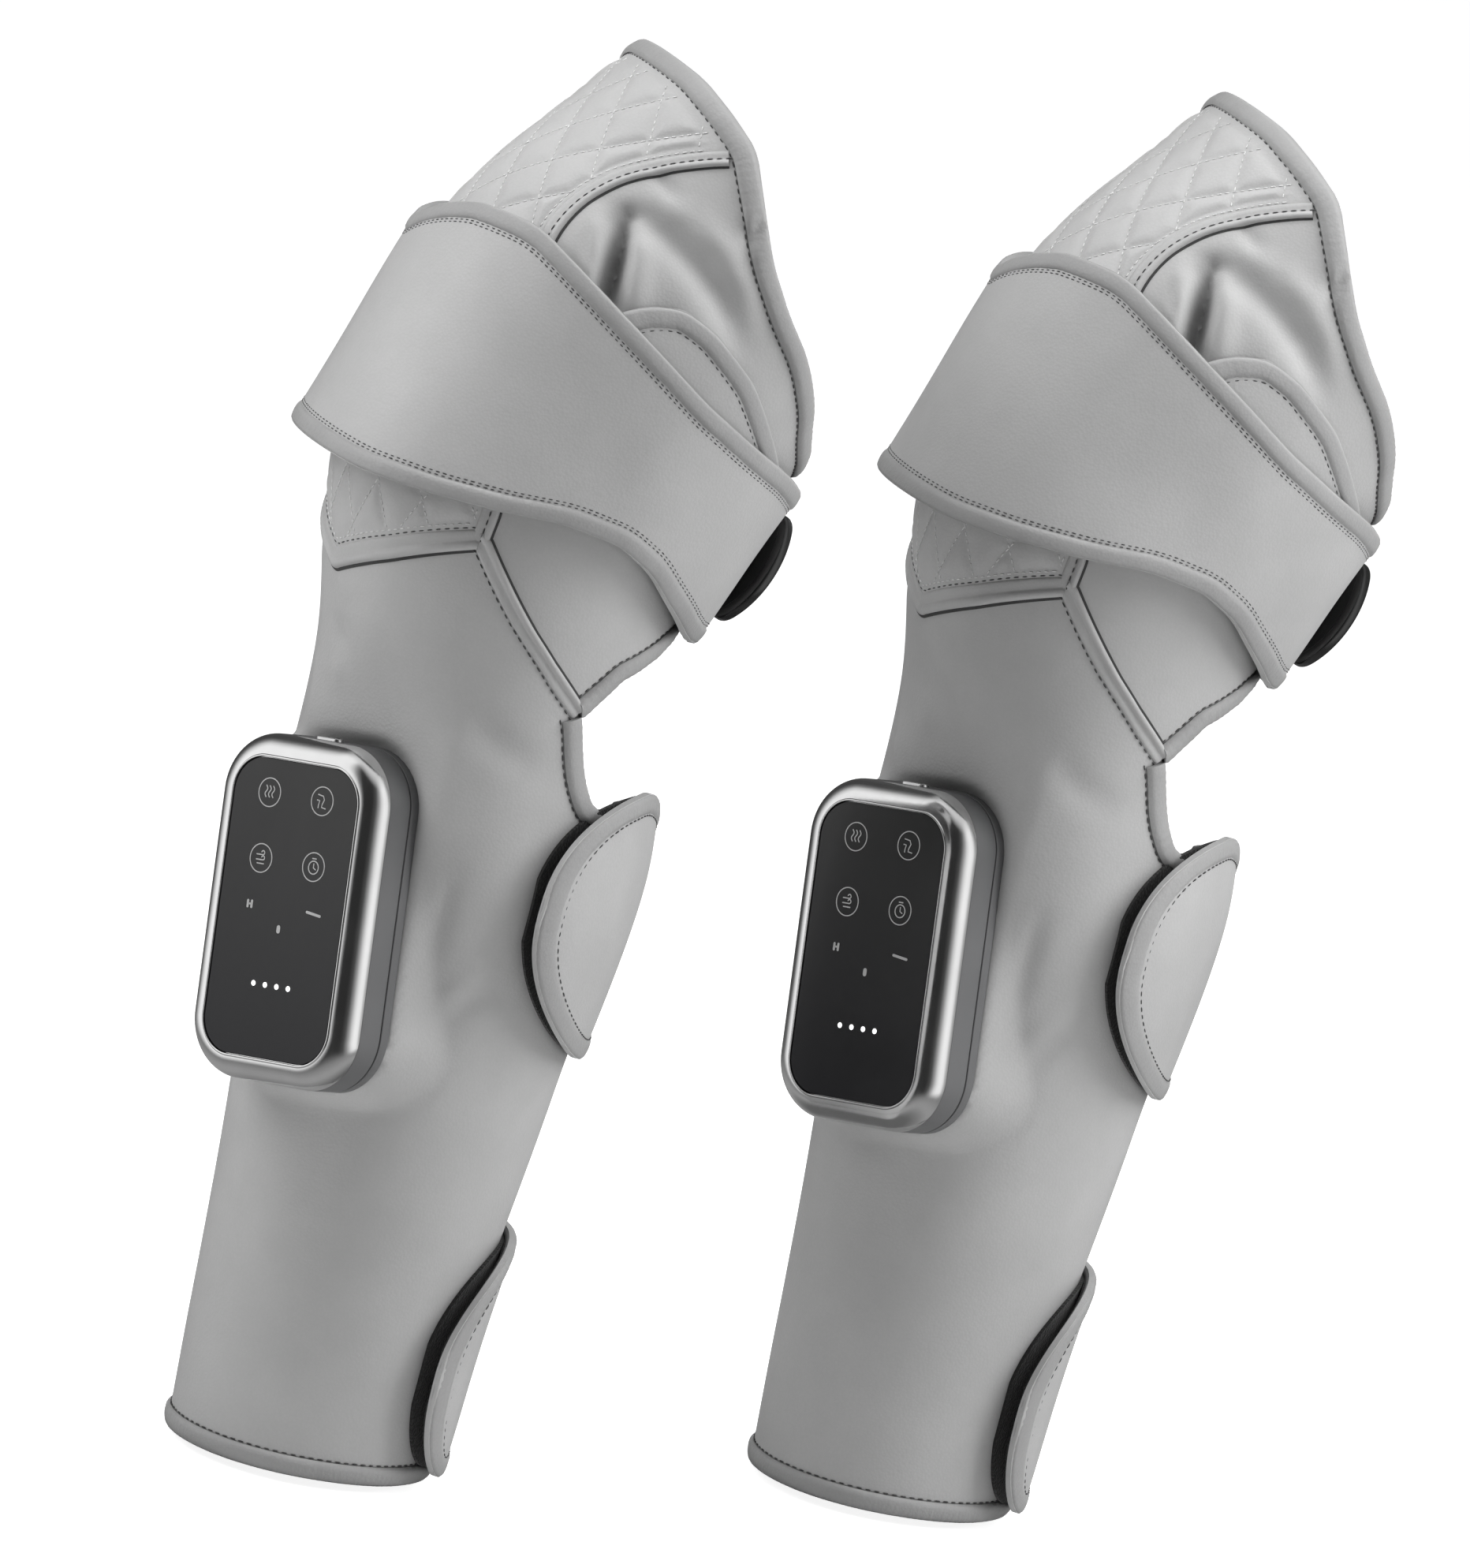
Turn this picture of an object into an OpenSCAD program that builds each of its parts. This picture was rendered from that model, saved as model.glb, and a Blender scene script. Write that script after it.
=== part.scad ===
// A pair of wrap-around knee and calf massagers.
// Each unit is a padded sleeve drawn round one bent leg: +Z runs up the calf,
// the shin faces -X and the outer side of the left unit faces -Y.
// Places on a sleeve are given as s, the length up the leg's centre line from
// the ankle hem in millimetres, a, the angle round the leg from the shin towards
// the outer side in degrees, and o, the height above the sleeve's outer face.

/* [Leg form] */
// Length of the straight calf part of the centre line
calf_len = 335; // [320:1:360]
// Angle that the knee is bent by
knee_angle = 35; // [25:1:40]
// Radius of the bend at the knee
knee_radius = 165; // [155:1:185]
// Length of the thigh part of the centre line in front
thigh_len = 88; // [80:1:110]
// Ankle radius at the shin
ankle_front = 54; // [50:1:60]
// Ankle radius at the heel side
ankle_back = 45; // [42:1:52]
// Ankle radius at the sides
ankle_side = 47; // [44:1:54]
// Calf radius at the shin
calf_front = 60; // [57:1:66]
// Calf radius at the back
calf_back = 74; // [68:1:80]
// Calf radius at the sides
calf_side = 66; // [62:1:72]
// Knee radius in front
knee_front = 81; // [76:1:88]
// Knee radius behind
knee_back = 75; // [70:1:82]
// Knee radius at the sides
knee_side = 68; // [64:1:74]
// Thigh radius in front
thigh_front = 77; // [72:1:84]
// Thigh radius behind
thigh_back = 78; // [72:1:84]
// Thigh radius at the sides
thigh_side = 71; // [66:1:78]

/* [Sleeve layers] */
// Thickness of the outer leather panels
shell_t = 2; // [1.4:0.1:3]
// Thickness of the soft lining
lining_t = 2; // [1.2:0.1:3]
// Thickness of the air chambers, heating pad and foam between them
filling_t = 4; // [3.5:0.5:8]
// Clearance round the fillings
filling_gap = 0.9; // [0.8:0.05:1.2]
// Clearance between sewn layers
layer_gap = 0.3; // [0.2:0.05:0.5]
// Width of the slit down the back of the calf
slit_w = 3.5; // [2:0.5:6]
// Dip of the calf part's upper edge at the slit
slit_dip = 26; // [20:1:30]

/* [Edges] */
// Height of the folded edge binding
binding_h = 6.5; // [4:0.5:9]
// Thickness of the edge binding
binding_t = 1.2; // [0.8:0.1:2]
// Clearance between a panel's edge and the fold of its binding
edge_gap = 0.7; // [0.6:0.1:1]
// Width of the piping over a seam
piping_w = 6; // [4:0.5:8]
// Height of the piping over a seam
piping_h = 1.6; // [1:0.1:2.5]

/* [Straps] */
// Thickness of the calf and thigh straps
strap_t = 2.6; // [2:0.1:4]
// Height of the upper calf strap's tip below the calf part's upper end
upper_strap_drop = 107; // [100:1:115]
// Rise from the upper strap's tip to its upper edge
upper_strap_rise = 46; // [38:1:46]
// Drop from the upper strap's tip to its lower edge
upper_strap_fall = 62; // [50:1:66]
// Fall of the upper strap's upper edge on its way round the back
upper_strap_taper = 30; // [24:1:34]
// Height of the lower calf strap's tip above the ankle hem
lower_strap_tip = 47; // [46:1:60]
// Rise from the lower strap's tip to its upper edge
lower_strap_rise = 47; // [38:1:55]
// Drop from the lower strap's tip to its lower edge
lower_strap_fall = 44; // [36:1:44]
// Clearance between a strap and what it lies on
strap_gap = 0.9; // [0.8:0.05:1.2]
// Lift of a calf strap's free tip off the sleeve
strap_lift = 6; // [3:0.5:9]

/* [Knee band] */
// Thickness of the knee band
band_t = 2.6; // [2:0.1:4]
// Distance of the band's upper edge above the knee bend
band_top = 4; // [0:1:8]
// Distance of the band's lower edge above the calf part's upper end
band_bottom = 32; // [28:1:38]
// Stand-off of the band's upper edge in front
band_top_lift = 8; // [7.5:0.5:12]
// Stand-off of the band's lower edge in front
band_bottom_lift = 18; // [15:0.5:20]
// Stand-off of the band at the sides and the back
band_side_lift = 7.3; // [7:0.1:8.4]
// Length of the pull ring along the leg
ring_len = 46; // [44:1:52]
// Width of the pull ring
ring_w = 26; // [24:1:30]
// Thickness of the pull ring's bars
ring_t = 5; // [4:0.5:6]
// Radius of the pull ring's arched outer edge
ring_bow = 32; // [28:1:40]
// Thickness of the web between the ring's bars
ring_web_t = 2; // [1.5:0.25:3]
// Length of the keeper loop that holds the ring
keeper_len = 30; // [22:1:33]
// Thickness of the keeper loop
keeper_t = 1.6; // [1:0.1:2.2]
// Angle round the leg at which the band's free end starts
band_fold_a = 150; // [146:1:154]
// Angle round the leg at which the ring is held
ring_a = 182; // [178:1:186]

/* [Controller] */
// Width of the controller
ctl_w = 79; // [76:1:84]
// Height of the controller
ctl_h = 128.6; // [124:0.2:134]
// Depth of the controller from the sleeve to its front
ctl_d = 24.5; // [23:0.5:28]
// Corner radius of the controller seen from the front
ctl_r = 22.7; // [20:0.1:25]
// Roll radius of the metal bezel
bezel_r = 8.2; // [7:0.1:9]
// Wall thickness of the rear housing
housing_t = 2.2; // [1.8:0.1:2.6]
// Thickness of the touch glass
glass_t = 2; // [1.2:0.1:2.4]
// Height of the bright lip round the glass
lip_h = 0.4; // [0.2:0.1:0.8]
// Distance of the controller's back from the centre line
ctl_seat = 55.2; // [52:0.2:58]
// Distance of the controller's centre below the calf part's upper end
ctl_drop = 126; // [120:1:132]
// Angle round the leg that the controller faces
ctl_a = 23; // [20:1:26]
// Lean of the controller's top away from the shin
ctl_pitch = -5; // [-6:0.5:0]
// Turn of the controller in its own plane
ctl_roll = 10.5; // [6:0.5:12]
// Length of the power button
button_len = 12; // [9:0.5:15]
// Height of the power button
button_h = 4.4; // [3.5:0.1:5]
// Clearance round the power button
button_gap = 0.25; // [0.15:0.05:0.4]
// Travel of the power button
button_travel = 0.8; // [0.5:0.1:1]

/* [Pair] */
// Distance of the second unit behind the first
pair_back = 254; // [250:1:300]
// Distance of the second unit to the inner side of the first
pair_side = 24; // [0:1:40]

/* [Hidden] */
SIDES = ["left", "right"];
PIECES = [
    "calf_shell", "knee_panel", "side_panels", "calf_lining", "thigh_lining",
    "air_chambers", "thigh_foam", "knee_heating_pad", "hem_binding", "rim_binding",
    "notch_binding", "piping", "calf_strap_roots", "upper_calf_strap",
    "lower_calf_strap", "thigh_strap", "knee_band", "knee_band_end", "knee_ring",
    "rear_housing", "bezel_frame", "glass_panel", "power_button", "charge_socket",
    "control_board", "battery_pack", "air_pump", "air_hoses", "mounting_plate",
    "housing_screws"
];

$fn = 48;
leather = [0.62, 0.62, 0.62];
quilted = [0.68, 0.68, 0.68];
edging = [0.52, 0.52, 0.52];
lining_grey = [0.40, 0.40, 0.41];
webbing = [0.30, 0.30, 0.31];
black_plastic = [0.08, 0.08, 0.09];
dark_plastic = [0.42, 0.42, 0.43];
bright_metal = [0.78, 0.78, 0.79];
dark_glass = [0.22, 0.22, 0.23];
board_green = [0.10, 0.35, 0.20];
cell_blue = [0.20, 0.35, 0.60];
steel = [0.60, 0.60, 0.62];
clear_film = [0.75, 0.78, 0.80];

// Centre line of the leg
arc_len = knee_radius * knee_angle * PI / 180;
knee_end = calf_len + arc_len;
rim_top = knee_end + thigh_len;

// Radii of the sleeve's outer face at places up the leg, as front, back, side
ankle = [ankle_front, ankle_back, ankle_side];
calf = [calf_front, calf_back, calf_side];
waist = calf - [0, 4, 4];
knee = [knee_front, knee_back, knee_side];
thigh = [thigh_front, thigh_back, thigh_side];
SECTIONS = [
    [0, ankle],
    [0.21 * calf_len, mix(ankle, calf, 0.22)],
    [0.45 * calf_len, mix(ankle, calf, 0.60)],
    [0.70 * calf_len, calf],
    [0.90 * calf_len, waist],
    [calf_len + 0.1 * arc_len, mix(waist, knee, 0.4)],
    [calf_len + 0.55 * arc_len, knee],
    [knee_end + 4, knee + [5, 5, 2]],
    [knee_end + 0.73 * thigh_len, thigh],
    [knee_end + 1.18 * thigh_len, thigh + [-7, -2, 1]]
];
RADII = [for (k = [0:2]) [for (q = SECTIONS) [q[0], q[1][k]]]];

// Layers, as heights above the sleeve's outer face
shell_in = -shell_t;
filling_out = shell_in - filling_gap;
filling_in = filling_out - filling_t;
lining_out = filling_in - filling_gap;
lining_in = lining_out - lining_t;
on_shell = layer_gap;
on_binding = 2 * layer_gap;

// Seams of the sleeve: the front panel's side seam, and the edges up the leg
panel_a = 57;
panel_rim_a = 52;
notch_a = 103;
back_a = 178;
slit_a = 197;
dip_reach = 40;
slit_half = slit_w / 2 / calf_back * 180 / PI;
shell_end = slit_a - slit_half;
shell_start = slit_a + slit_half - 360;
strap_root_a = slit_a + slit_half + 1.6;
CALF_TOP = [
    [0, 3], [28, 13], [panel_a, 25], [80, -4], [notch_a, -31], [105, -43],
    [107.5, -54], [112, -64], [120, -70], [145, -73], [180, -73]
];
THIGH_BOTTOM = [
    [panel_a, 25], [80, -4], [notch_a, -31], [116, -16], [133, -8], [147, -1],
    [back_a, 5], [182, 5]
];
RIM_DROP = [
    [0, 0], [20, 0], [36, 3], [50, 7], [60, 16], [78, 33], [92, 42], [107, 48],
    [122, 57], [133, 65], [150, 71], [180, 73]
];
PANEL_SEAM = [
    [calf_len + 25, panel_a], [calf_len + 38, panel_a], [calf_len + 65, 46],
    [knee_end + 4, 31], [knee_end + 22, 28], [knee_end + 39, 30],
    [knee_end + 54, 36], [knee_end + 68, 44], [rim_top - 9, panel_rim_a]
];

// Controller
front_z = ctl_d;
seat_rim = 5;
seat_margin = 20;
hold_rim = -1;
hold_margin = 7;
bezel_z = front_z - bezel_r - 0.2;
lip_w = 0.7;
bezel_w = bezel_r + lip_w;
glass_gap = 0.3;
open_w = ctl_w - 2 * bezel_w;
open_h = ctl_h - 2 * bezel_w;
open_r = ctl_r - bezel_w;
ledge_w = 2.2;
ledge_z = front_z - glass_t - glass_gap;
part_gap = 0.15;
floor_t = 2.2;
boss_r = 3.4;
boss_x = ctl_w / 2 - 13;
boss_y = ctl_h / 2 - 17;
board_t = 1.6;
board_margin = 5.5;
board_z = bezel_z - board_t - 1.2;
window_w = ctl_w - 35;
window_h = ctl_h - 38.6;
flange = 8;
plate_t = 2;
ctl_z = calf_len - ctl_drop;
button_z = 9.5;
button_y = ctl_h / 2;
button_proud = button_travel + 0.2;
socket_w = 9;
socket_h = 3.3;
socket_len = 7.4;
socket_wall = 0.4;
socket_z = 4.4;
groove_z = 4.2;
groove_w = 0.8;
groove_d = 0.6;
ledge_t = 1.4;
screw_x = window_w / 2 - 6;
screw_y = window_h / 2 - 7;
screw_r = 1.2;
screw_bite = 4.5;
hose_x = 8;
hose_y = screw_y - 6.5;
hose_r = 2.2;
hose_flat = 2.2;
duct_len = 21;
pump_r = 5;
board_w = ctl_w - 2 * board_margin;
board_h = ctl_h - 3 * board_margin;
flange_z = -layer_gap - shell_t - layer_gap;
// Touch keys under the glass
KEYS = [[-13, 42.5], [13, 42.5], [-13, 18], [13, 18]];

function mix(p, q, t) = p + (q - p) * t;
function clamp(x, lo, hi) = max(lo, min(hi, x));
function smooth(t) = let (c = clamp(t, 0, 1)) c * c * (3 - 2 * c);
function even(lo, hi, count) = [for (i = [0:count]) mix(lo, hi, i / count)];
function reversed(list) = [for (k = [len(list) - 1:-1:0]) list[k]];

// Smooth curve through a list of [place, value] stations
function span(p, x, i = 0) = i >= len(p) - 2 || x < p[i + 1][0] ? i : span(p, x, i + 1);
function slope(p, i) =
    let (lo = max(i - 1, 0), hi = min(i + 1, len(p) - 1))
    (p[hi][1] - p[lo][1]) / (p[hi][0] - p[lo][0]);
function curve(p, x) =
    let (
        q = clamp(x, p[0][0], p[len(p) - 1][0]),
        i = span(p, q),
        h = p[i + 1][0] - p[i][0],
        t = (q - p[i][0]) / h
    )
    p[i][1] * (2 * t ^ 3 - 3 * t ^ 2 + 1) + slope(p, i) * h * (t ^ 3 - 2 * t ^ 2 + t)
    + p[i + 1][1] * (3 * t ^ 2 - 2 * t ^ 3) + slope(p, i + 1) * h * (t ^ 3 - t ^ 2);

// Controller seat: its axes, and the flat that the sleeve takes under it
face_n = [
    -cos(ctl_a) * cos(ctl_pitch), -sin(ctl_a) * cos(ctl_pitch), -sin(ctl_pitch)
];
face_up = [
    -cos(ctl_a) * sin(ctl_pitch), -sin(ctl_a) * sin(ctl_pitch), cos(ctl_pitch)
];
face_side = [sin(ctl_a), -cos(ctl_a), 0];
ctl_x = face_side * cos(ctl_roll) + face_up * sin(ctl_roll);
ctl_y = face_up * cos(ctl_roll) - face_side * sin(ctl_roll);
seat_at = [-cos(ctl_a) * ctl_seat, -sin(ctl_a) * ctl_seat, ctl_z];
// The controller presses the sleeve in beyond its outline, and holds it out behind it
function seated(p, o) =
    let (
        v = p - seat_at,
        gap = o - layer_gap - v * face_n,
        past = max(abs(v * ctl_x) - ctl_w / 2, abs(v * ctl_y) - ctl_h / 2),
        away = gap < 0 ? (past - seat_rim) / seat_margin : (past - hold_rim) / hold_margin,
        near = v * face_n > -30 ? 1 - smooth(away) : 0
    )
    p + face_n * near * gap;

// Centre line of the leg, its lean at a place, and the point at s, a, o
function lean(s) = clamp((s - calf_len) / knee_radius * 180 / PI, 0, knee_angle);
function centre(s) =
    let (th = lean(s), past = max(s - knee_end, 0))
    [
        knee_radius * (1 - cos(th)) + past * sin(knee_angle),
        0,
        min(s, calf_len) + knee_radius * sin(th) + past * cos(knee_angle)
    ];
function leg(s, a, o) =
    let (
        th = lean(s),
        f = (curve(RADII[cos(a) >= 0 ? 0 : 1], s) + o) * cos(a),
        side = (curve(RADII[2], s) + o) * sin(a)
    )
    seated(centre(s) + [-f * cos(th), -side, f * sin(th)], o);

// Edges of the sleeve's panels at an angle round the leg
function round_a(a) = abs(a > 180 ? a - 360 : a);
function off_slit(a) = abs((a + 540 - slit_a) % 360 - 180);
function calf_top(a) =
    calf_len + lookup(round_a(a), CALF_TOP) - slit_dip * (1 - smooth(off_slit(a) / dip_reach));
function thigh_bottom(a) = calf_len + lookup(round_a(a), THIGH_BOTTOM);
function rim(a) = rim_top - lookup(round_a(a), RIM_DROP);
function seam_s(u) = mix(calf_top(panel_a), rim(panel_rim_a), u);
// Place on the thigh part: u up from its lower edge, w across it, where the front
// panel lies between -1 and 1 and the side panels run on to -2 and 2
function thigh_at(u, w) =
    let (
        v = min(abs(w), 1),
        x = max(abs(w) - 1, 0),
        low = x > 0 ? thigh_bottom(mix(panel_a, back_a, x)) : calf_top(panel_a * v),
        high = rim(x > 0 ? mix(panel_rim_a, back_a, x) : panel_rim_a * v),
        seam = curve(PANEL_SEAM, seam_s(u))
    )
    [mix(low, high, u), sign(w) * (x > 0 ? mix(seam, back_a, x) : v * seam)];

// A padded sheet from two grids of points, rows up the leg, columns round it
function tile(a, b, c, d) = [[a, b, c], [a, c, d]];
module sheet(outer, inner, closed = false) {
    n = len(outer);
    m = len(outer[0]);
    out = function (i, j) i * m + j % m;
    in = function (i, j) n * m + i * m + j % m;
    cols = closed ? m : m - 1;
    skin = [
        for (i = [0:n - 2]) for (j = [0:cols - 1])
        each concat(
            tile(out(i, j), out(i + 1, j), out(i + 1, j + 1), out(i, j + 1)),
            tile(in(i, j), in(i, j + 1), in(i + 1, j + 1), in(i + 1, j))
        )
    ];
    ends = [
        for (j = [0:cols - 1])
        each concat(
            tile(out(0, j), out(0, j + 1), in(0, j + 1), in(0, j)),
            tile(out(n - 1, j), in(n - 1, j), in(n - 1, j + 1), out(n - 1, j + 1))
        )
    ];
    sides = closed ? [] : [
        for (i = [0:n - 2])
        each concat(
            tile(in(i, 0), in(i + 1, 0), out(i + 1, 0), out(i, 0)),
            tile(in(i, m - 1), out(i, m - 1), out(i + 1, m - 1), in(i + 1, m - 1))
        )
    ];
    polyhedron(
        points = concat([for (row = outer) each row], [for (row = inner) each row]),
        faces = concat(skin, ends, sides)
    );
}

// A sheet on the leg between two heights: at(u, w) returns the [s, a] of row u and
// column w, and rows is a list of u or the count of even rows
module leg_sheet(at, rows, cols, o_out, o_in, closed = false) {
    us = is_list(rows) ? rows : even(0, 1, rows);
    sheet(
        [for (u = us) [for (w = cols) let (q = at(u, w)) leg(q[0], q[1], o_out(u, w))]],
        [for (u = us) [for (w = cols) let (q = at(u, w)) leg(q[0], q[1], o_in(u, w))]],
        closed
    );
}

// Edge binding: a folded strip that straddles an edge and follows a path of [s, a]
// points, inward being +1 where the sleeve lies on the left of the path
BINDING = [
    [-edge_gap - binding_t, lining_in - filling_gap - binding_t],
    [binding_h, lining_in - filling_gap - binding_t],
    [binding_h, lining_in - filling_gap],
    [-edge_gap, lining_in - filling_gap],
    [-edge_gap, on_binding],
    [binding_h, on_binding],
    [binding_h, on_binding + binding_t],
    [-edge_gap - binding_t, on_binding + binding_t]
];
PIPING = [
    [-piping_w / 2, on_shell], [piping_w / 2, on_shell],
    [piping_w / 3, on_shell + piping_h], [-piping_w / 3, on_shell + piping_h]
];
function arc_mm(s) = curve(RADII[2], s) * PI / 180;
function path_slope(path, j, closed) =
    let (
        n = len(path),
        lo = closed ? (j + n - 1) % n : max(j - 1, 0),
        hi = closed ? (j + 1) % n : min(j + 1, n - 1),
        turn = path[hi][1] - path[lo][1],
        da = (turn < -180 ? turn + 360 : turn > 180 ? turn - 360 : turn) * arc_mm(path[j][0]),
        ds = path[hi][0] - path[lo][0]
    )
    [ds, da] / norm([ds, da]);
function swept(path, profile, inward, closed) = [
    for (j = [0:len(path) - 1])
    let (
        q = path[j],
        t = path_slope(path, j, closed),
        across = inward * [t[1], -t[0] / arc_mm(q[0])]
    )
    [for (p = profile) leg(q[0] + across[0] * p[0], q[1] + across[1] * p[0], p[1])]
];
module strip(path, profile, caps, inward = 1, closed = false) {
    rings = swept(path, inward > 0 ? profile : reversed(profile), inward, closed);
    n = len(rings);
    m = len(profile);
    at = function (j, k) (j % n) * m + k % m;
    cap = inward > 0 ? caps : [for (f = caps) [for (k = f) m - 1 - k]];
    wall = [
        for (j = [0:closed ? n - 1 : n - 2]) for (k = [0:m - 1])
        each tile(at(j, k), at(j + 1, k), at(j + 1, k + 1), at(j, k + 1))
    ];
    first = [for (f = cap) inward > 0 ? f : reversed(f)];
    last = [for (f = first) [for (i = reversed(f)) i + (n - 1) * m]];
    polyhedron(
        points = [for (ring = rings) each ring],
        faces = closed ? wall : concat(wall, first, last)
    );
}
BINDING_CAP = concat(tile(0, 1, 2, 3), tile(0, 3, 4, 7), tile(4, 5, 6, 7));
PIPING_CAP = tile(0, 1, 2, 3);

// The sleeve's outer panels
seat_low = (ctl_z - ctl_h / 2 - 3) / calf_top(ctl_a);
seat_high = (ctl_z + ctl_h / 2 + 7) / calf_top(ctl_a);
calf_rows = concat(
    seat_low * [0, 0.3, 0.6, 0.85, 1],
    [for (y = [-0.45, -0.15, 0.15, 0.45]) (ctl_z + y * ctl_h) / calf_top(ctl_a)],
    [seat_high, mix(seat_high, 1, 0.5), 1]
);
outer_back = [132, 145, 158, 171, 184, shell_end];
inner_back = [shell_start, -148, -133];
calf_cols = concat(
    inner_back,
    [-120, -112, -107.5, -105, -103, -92, -80, -68, -57, -43, -28, -19, -14, -7, 0, 14, 28, 41, 50],
    [57, 64, 72, 80, 92, 103, 105, 107.5, 112, 120], outer_back
);
module calf_shell() color(leather)
    difference() {
        leg_sheet(
            function (u, a) [calf_top(a) * u, a], calf_rows, calf_cols,
            function (u, a) 0, function (u, a) shell_in
        );
        on_seat() translate([-window_w / 2, -window_h / 2, -2 * shell_t])
            cube([window_w, window_h, 4 * shell_t]);
    }

panel_rows = [0.002, 0.125, 0.25, 0.375, 0.5, 0.625, 0.75, 0.875, 1];
gusset_cols = [116, 133, 147, 162, back_a];
side_cols = [
    for (a = concat([panel_a, 69, 80, 92, notch_a], gusset_cols))
    (a - panel_a) / (back_a - panel_a)
];
side_ws = [for (c = side_cols) 1 + max(c, 0.004)];
module knee_panel() color(quilted)
    leg_sheet(
        function (u, w) thigh_at(u, w), panel_rows, even(-1, 1, 8),
        function (u, w) 0, function (u, w) shell_in
    );
module side_panels() color(leather)
    for (ws = [side_ws, -reversed(side_ws)])
        leg_sheet(
            function (u, w) thigh_at(u, w), panel_rows, ws,
            function (u, w) 0, function (u, w) shell_in
        );

// The linings, the air chambers, the foam and the heating pad
lining_a = 165;
lining_margin = 1.5;
lining_rows = concat(
    seat_low * [0.6, 0.85], even(seat_low, seat_high, 2), [mix(seat_high, 1, 0.5)]
);
module calf_lining() color(lining_grey)
    leg_sheet(
        function (u, a) [(calf_top(a) - lining_margin) * u, a],
        concat([0], lining_rows, [1]),
        concat(
            [lining_a - 359.5, -189, -176, shell_end - 360], inner_back,
            [-120, -112, -107.5, -notch_a, -92, -78, -62, -43, -28, -19, -14, -7, 0, 14, 28, 46, 62],
            [78, 92, notch_a, 107.5, 112, 120, 132, 145, 158, lining_a]
        ),
        function (u, a) lining_out, function (u, a) lining_in
    );
module thigh_lining() color(lining_grey)
    leg_sheet(
        function (u, w) thigh_at(u, w),
        [0.01, 0.125, 0.25, 0.375, 0.5, 0.625, 0.75, 0.875, 0.99],
        concat(-reversed(side_ws), even(-0.75, 0.75, 6), side_ws),
        function (u, w) lining_out, function (u, w) lining_in
    );
module air_chambers() color(clear_film)
    for (cols = [
        [92, notch_a, 107.5, 112, 120, 132, 145, 158, lining_a, 171, 184, 191],
        [-146, -133, -120, -112, -107.5, -notch_a, -92, -78, -62, -54]
    ])
        leg_sheet(
            function (u, a) [(calf_top(a) - lining_margin) * u, a],
            concat([0.06], lining_rows), cols,
            function (u, a) filling_out, function (u, a) filling_in
        );
foam_rows = [0.125, 0.25, 0.375, 0.5, 0.625, 0.75, 0.875];
foam_ws = [for (k = [1:8]) side_ws[k]];
module thigh_foam() color(lining_grey)
    for (ws = [foam_ws, -reversed(foam_ws)])
        leg_sheet(
            function (u, w) thigh_at(u, w), foam_rows, ws,
            function (u, w) filling_out, function (u, w) filling_in
        );
module knee_heating_pad() color(webbing) {
    leg_sheet(
        function (u, w) thigh_at(u, w), foam_rows, even(-0.75, 0.75, 6),
        function (u, w) filling_out, function (u, w) filling_in
    );
    leg_sheet(
        function (s, a) [s, a],
        concat(
            [seat_high, mix(seat_high, 1, 0.5), 1] * calf_top(34),
            [calf_len + 24, calf_len + 38]
        ),
        [30, 38],
        function (u, a) filling_out - 1.4, function (u, a) filling_out - 2.6
    );
}

// Folded bindings on the sleeve's edges, and the piping over its seams
hem_path = [for (a = calf_cols) if (abs(abs(a) - 108.2) > 5.3 || abs(a) == 105) [0, a]];
rim_side = [for (c = side_cols) mix(panel_rim_a, back_a, c)];
rim_front = [for (v = even(-0.75, 0.75, 6)) v * panel_rim_a];
rim_path = [for (a = concat(-reversed(rim_side), rim_front, rim_side)) [rim(a), a]];
notch_angles = [104.2, 105, 107.5, 112, 120];
gusset_angles = concat([104.2, 110], gusset_cols);
module hem_binding() color(edging) strip(hem_path, BINDING, BINDING_CAP);
module rim_binding() color(edging) strip(rim_path, BINDING, BINDING_CAP, -1);
module notch_binding() color(edging) {
    strip(
        [for (a = concat(notch_angles, outer_back)) [calf_top(a), a]],
        BINDING, BINDING_CAP, -1
    );
    strip(
        [for (a = concat(inner_back, -reversed(notch_angles))) [calf_top(a), a]],
        BINDING, BINDING_CAP, -1
    );
    strip([for (a = gusset_angles) [thigh_bottom(a), a]], BINDING, BINDING_CAP);
    strip(
        [for (a = -reversed(gusset_angles)) [thigh_bottom(a), a]],
        BINDING, BINDING_CAP
    );
}
module piping() color(edging) {
    for (side = [-1, 1]) {
        strip(
            [for (a = even(panel_a + 2, notch_a - 5, 5)) [calf_top(a), side * a]],
            PIPING, PIPING_CAP, side
        );
        strip(
            [for (u = even(0.03, 0.95, 10))
                [seam_s(u), side * curve(PANEL_SEAM, seam_s(u))]],
            PIPING, PIPING_CAP, side
        );
    }
    strip(
        [for (a = [-53, -43, -28, -19, -14, -7, 0, 14, 28, 41, 50, 53]) [calf_top(a), a]],
        PIPING, PIPING_CAP
    );
}

// Straps: the outline of a rounded end, as the share of the full half width left
// at x of the way from the full width to the tip
function rounded_end(x, power) = (1 - clamp(x, 0, 1) ^ power) ^ (1 / power);
strap_base = on_binding + binding_t + strap_gap;
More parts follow.
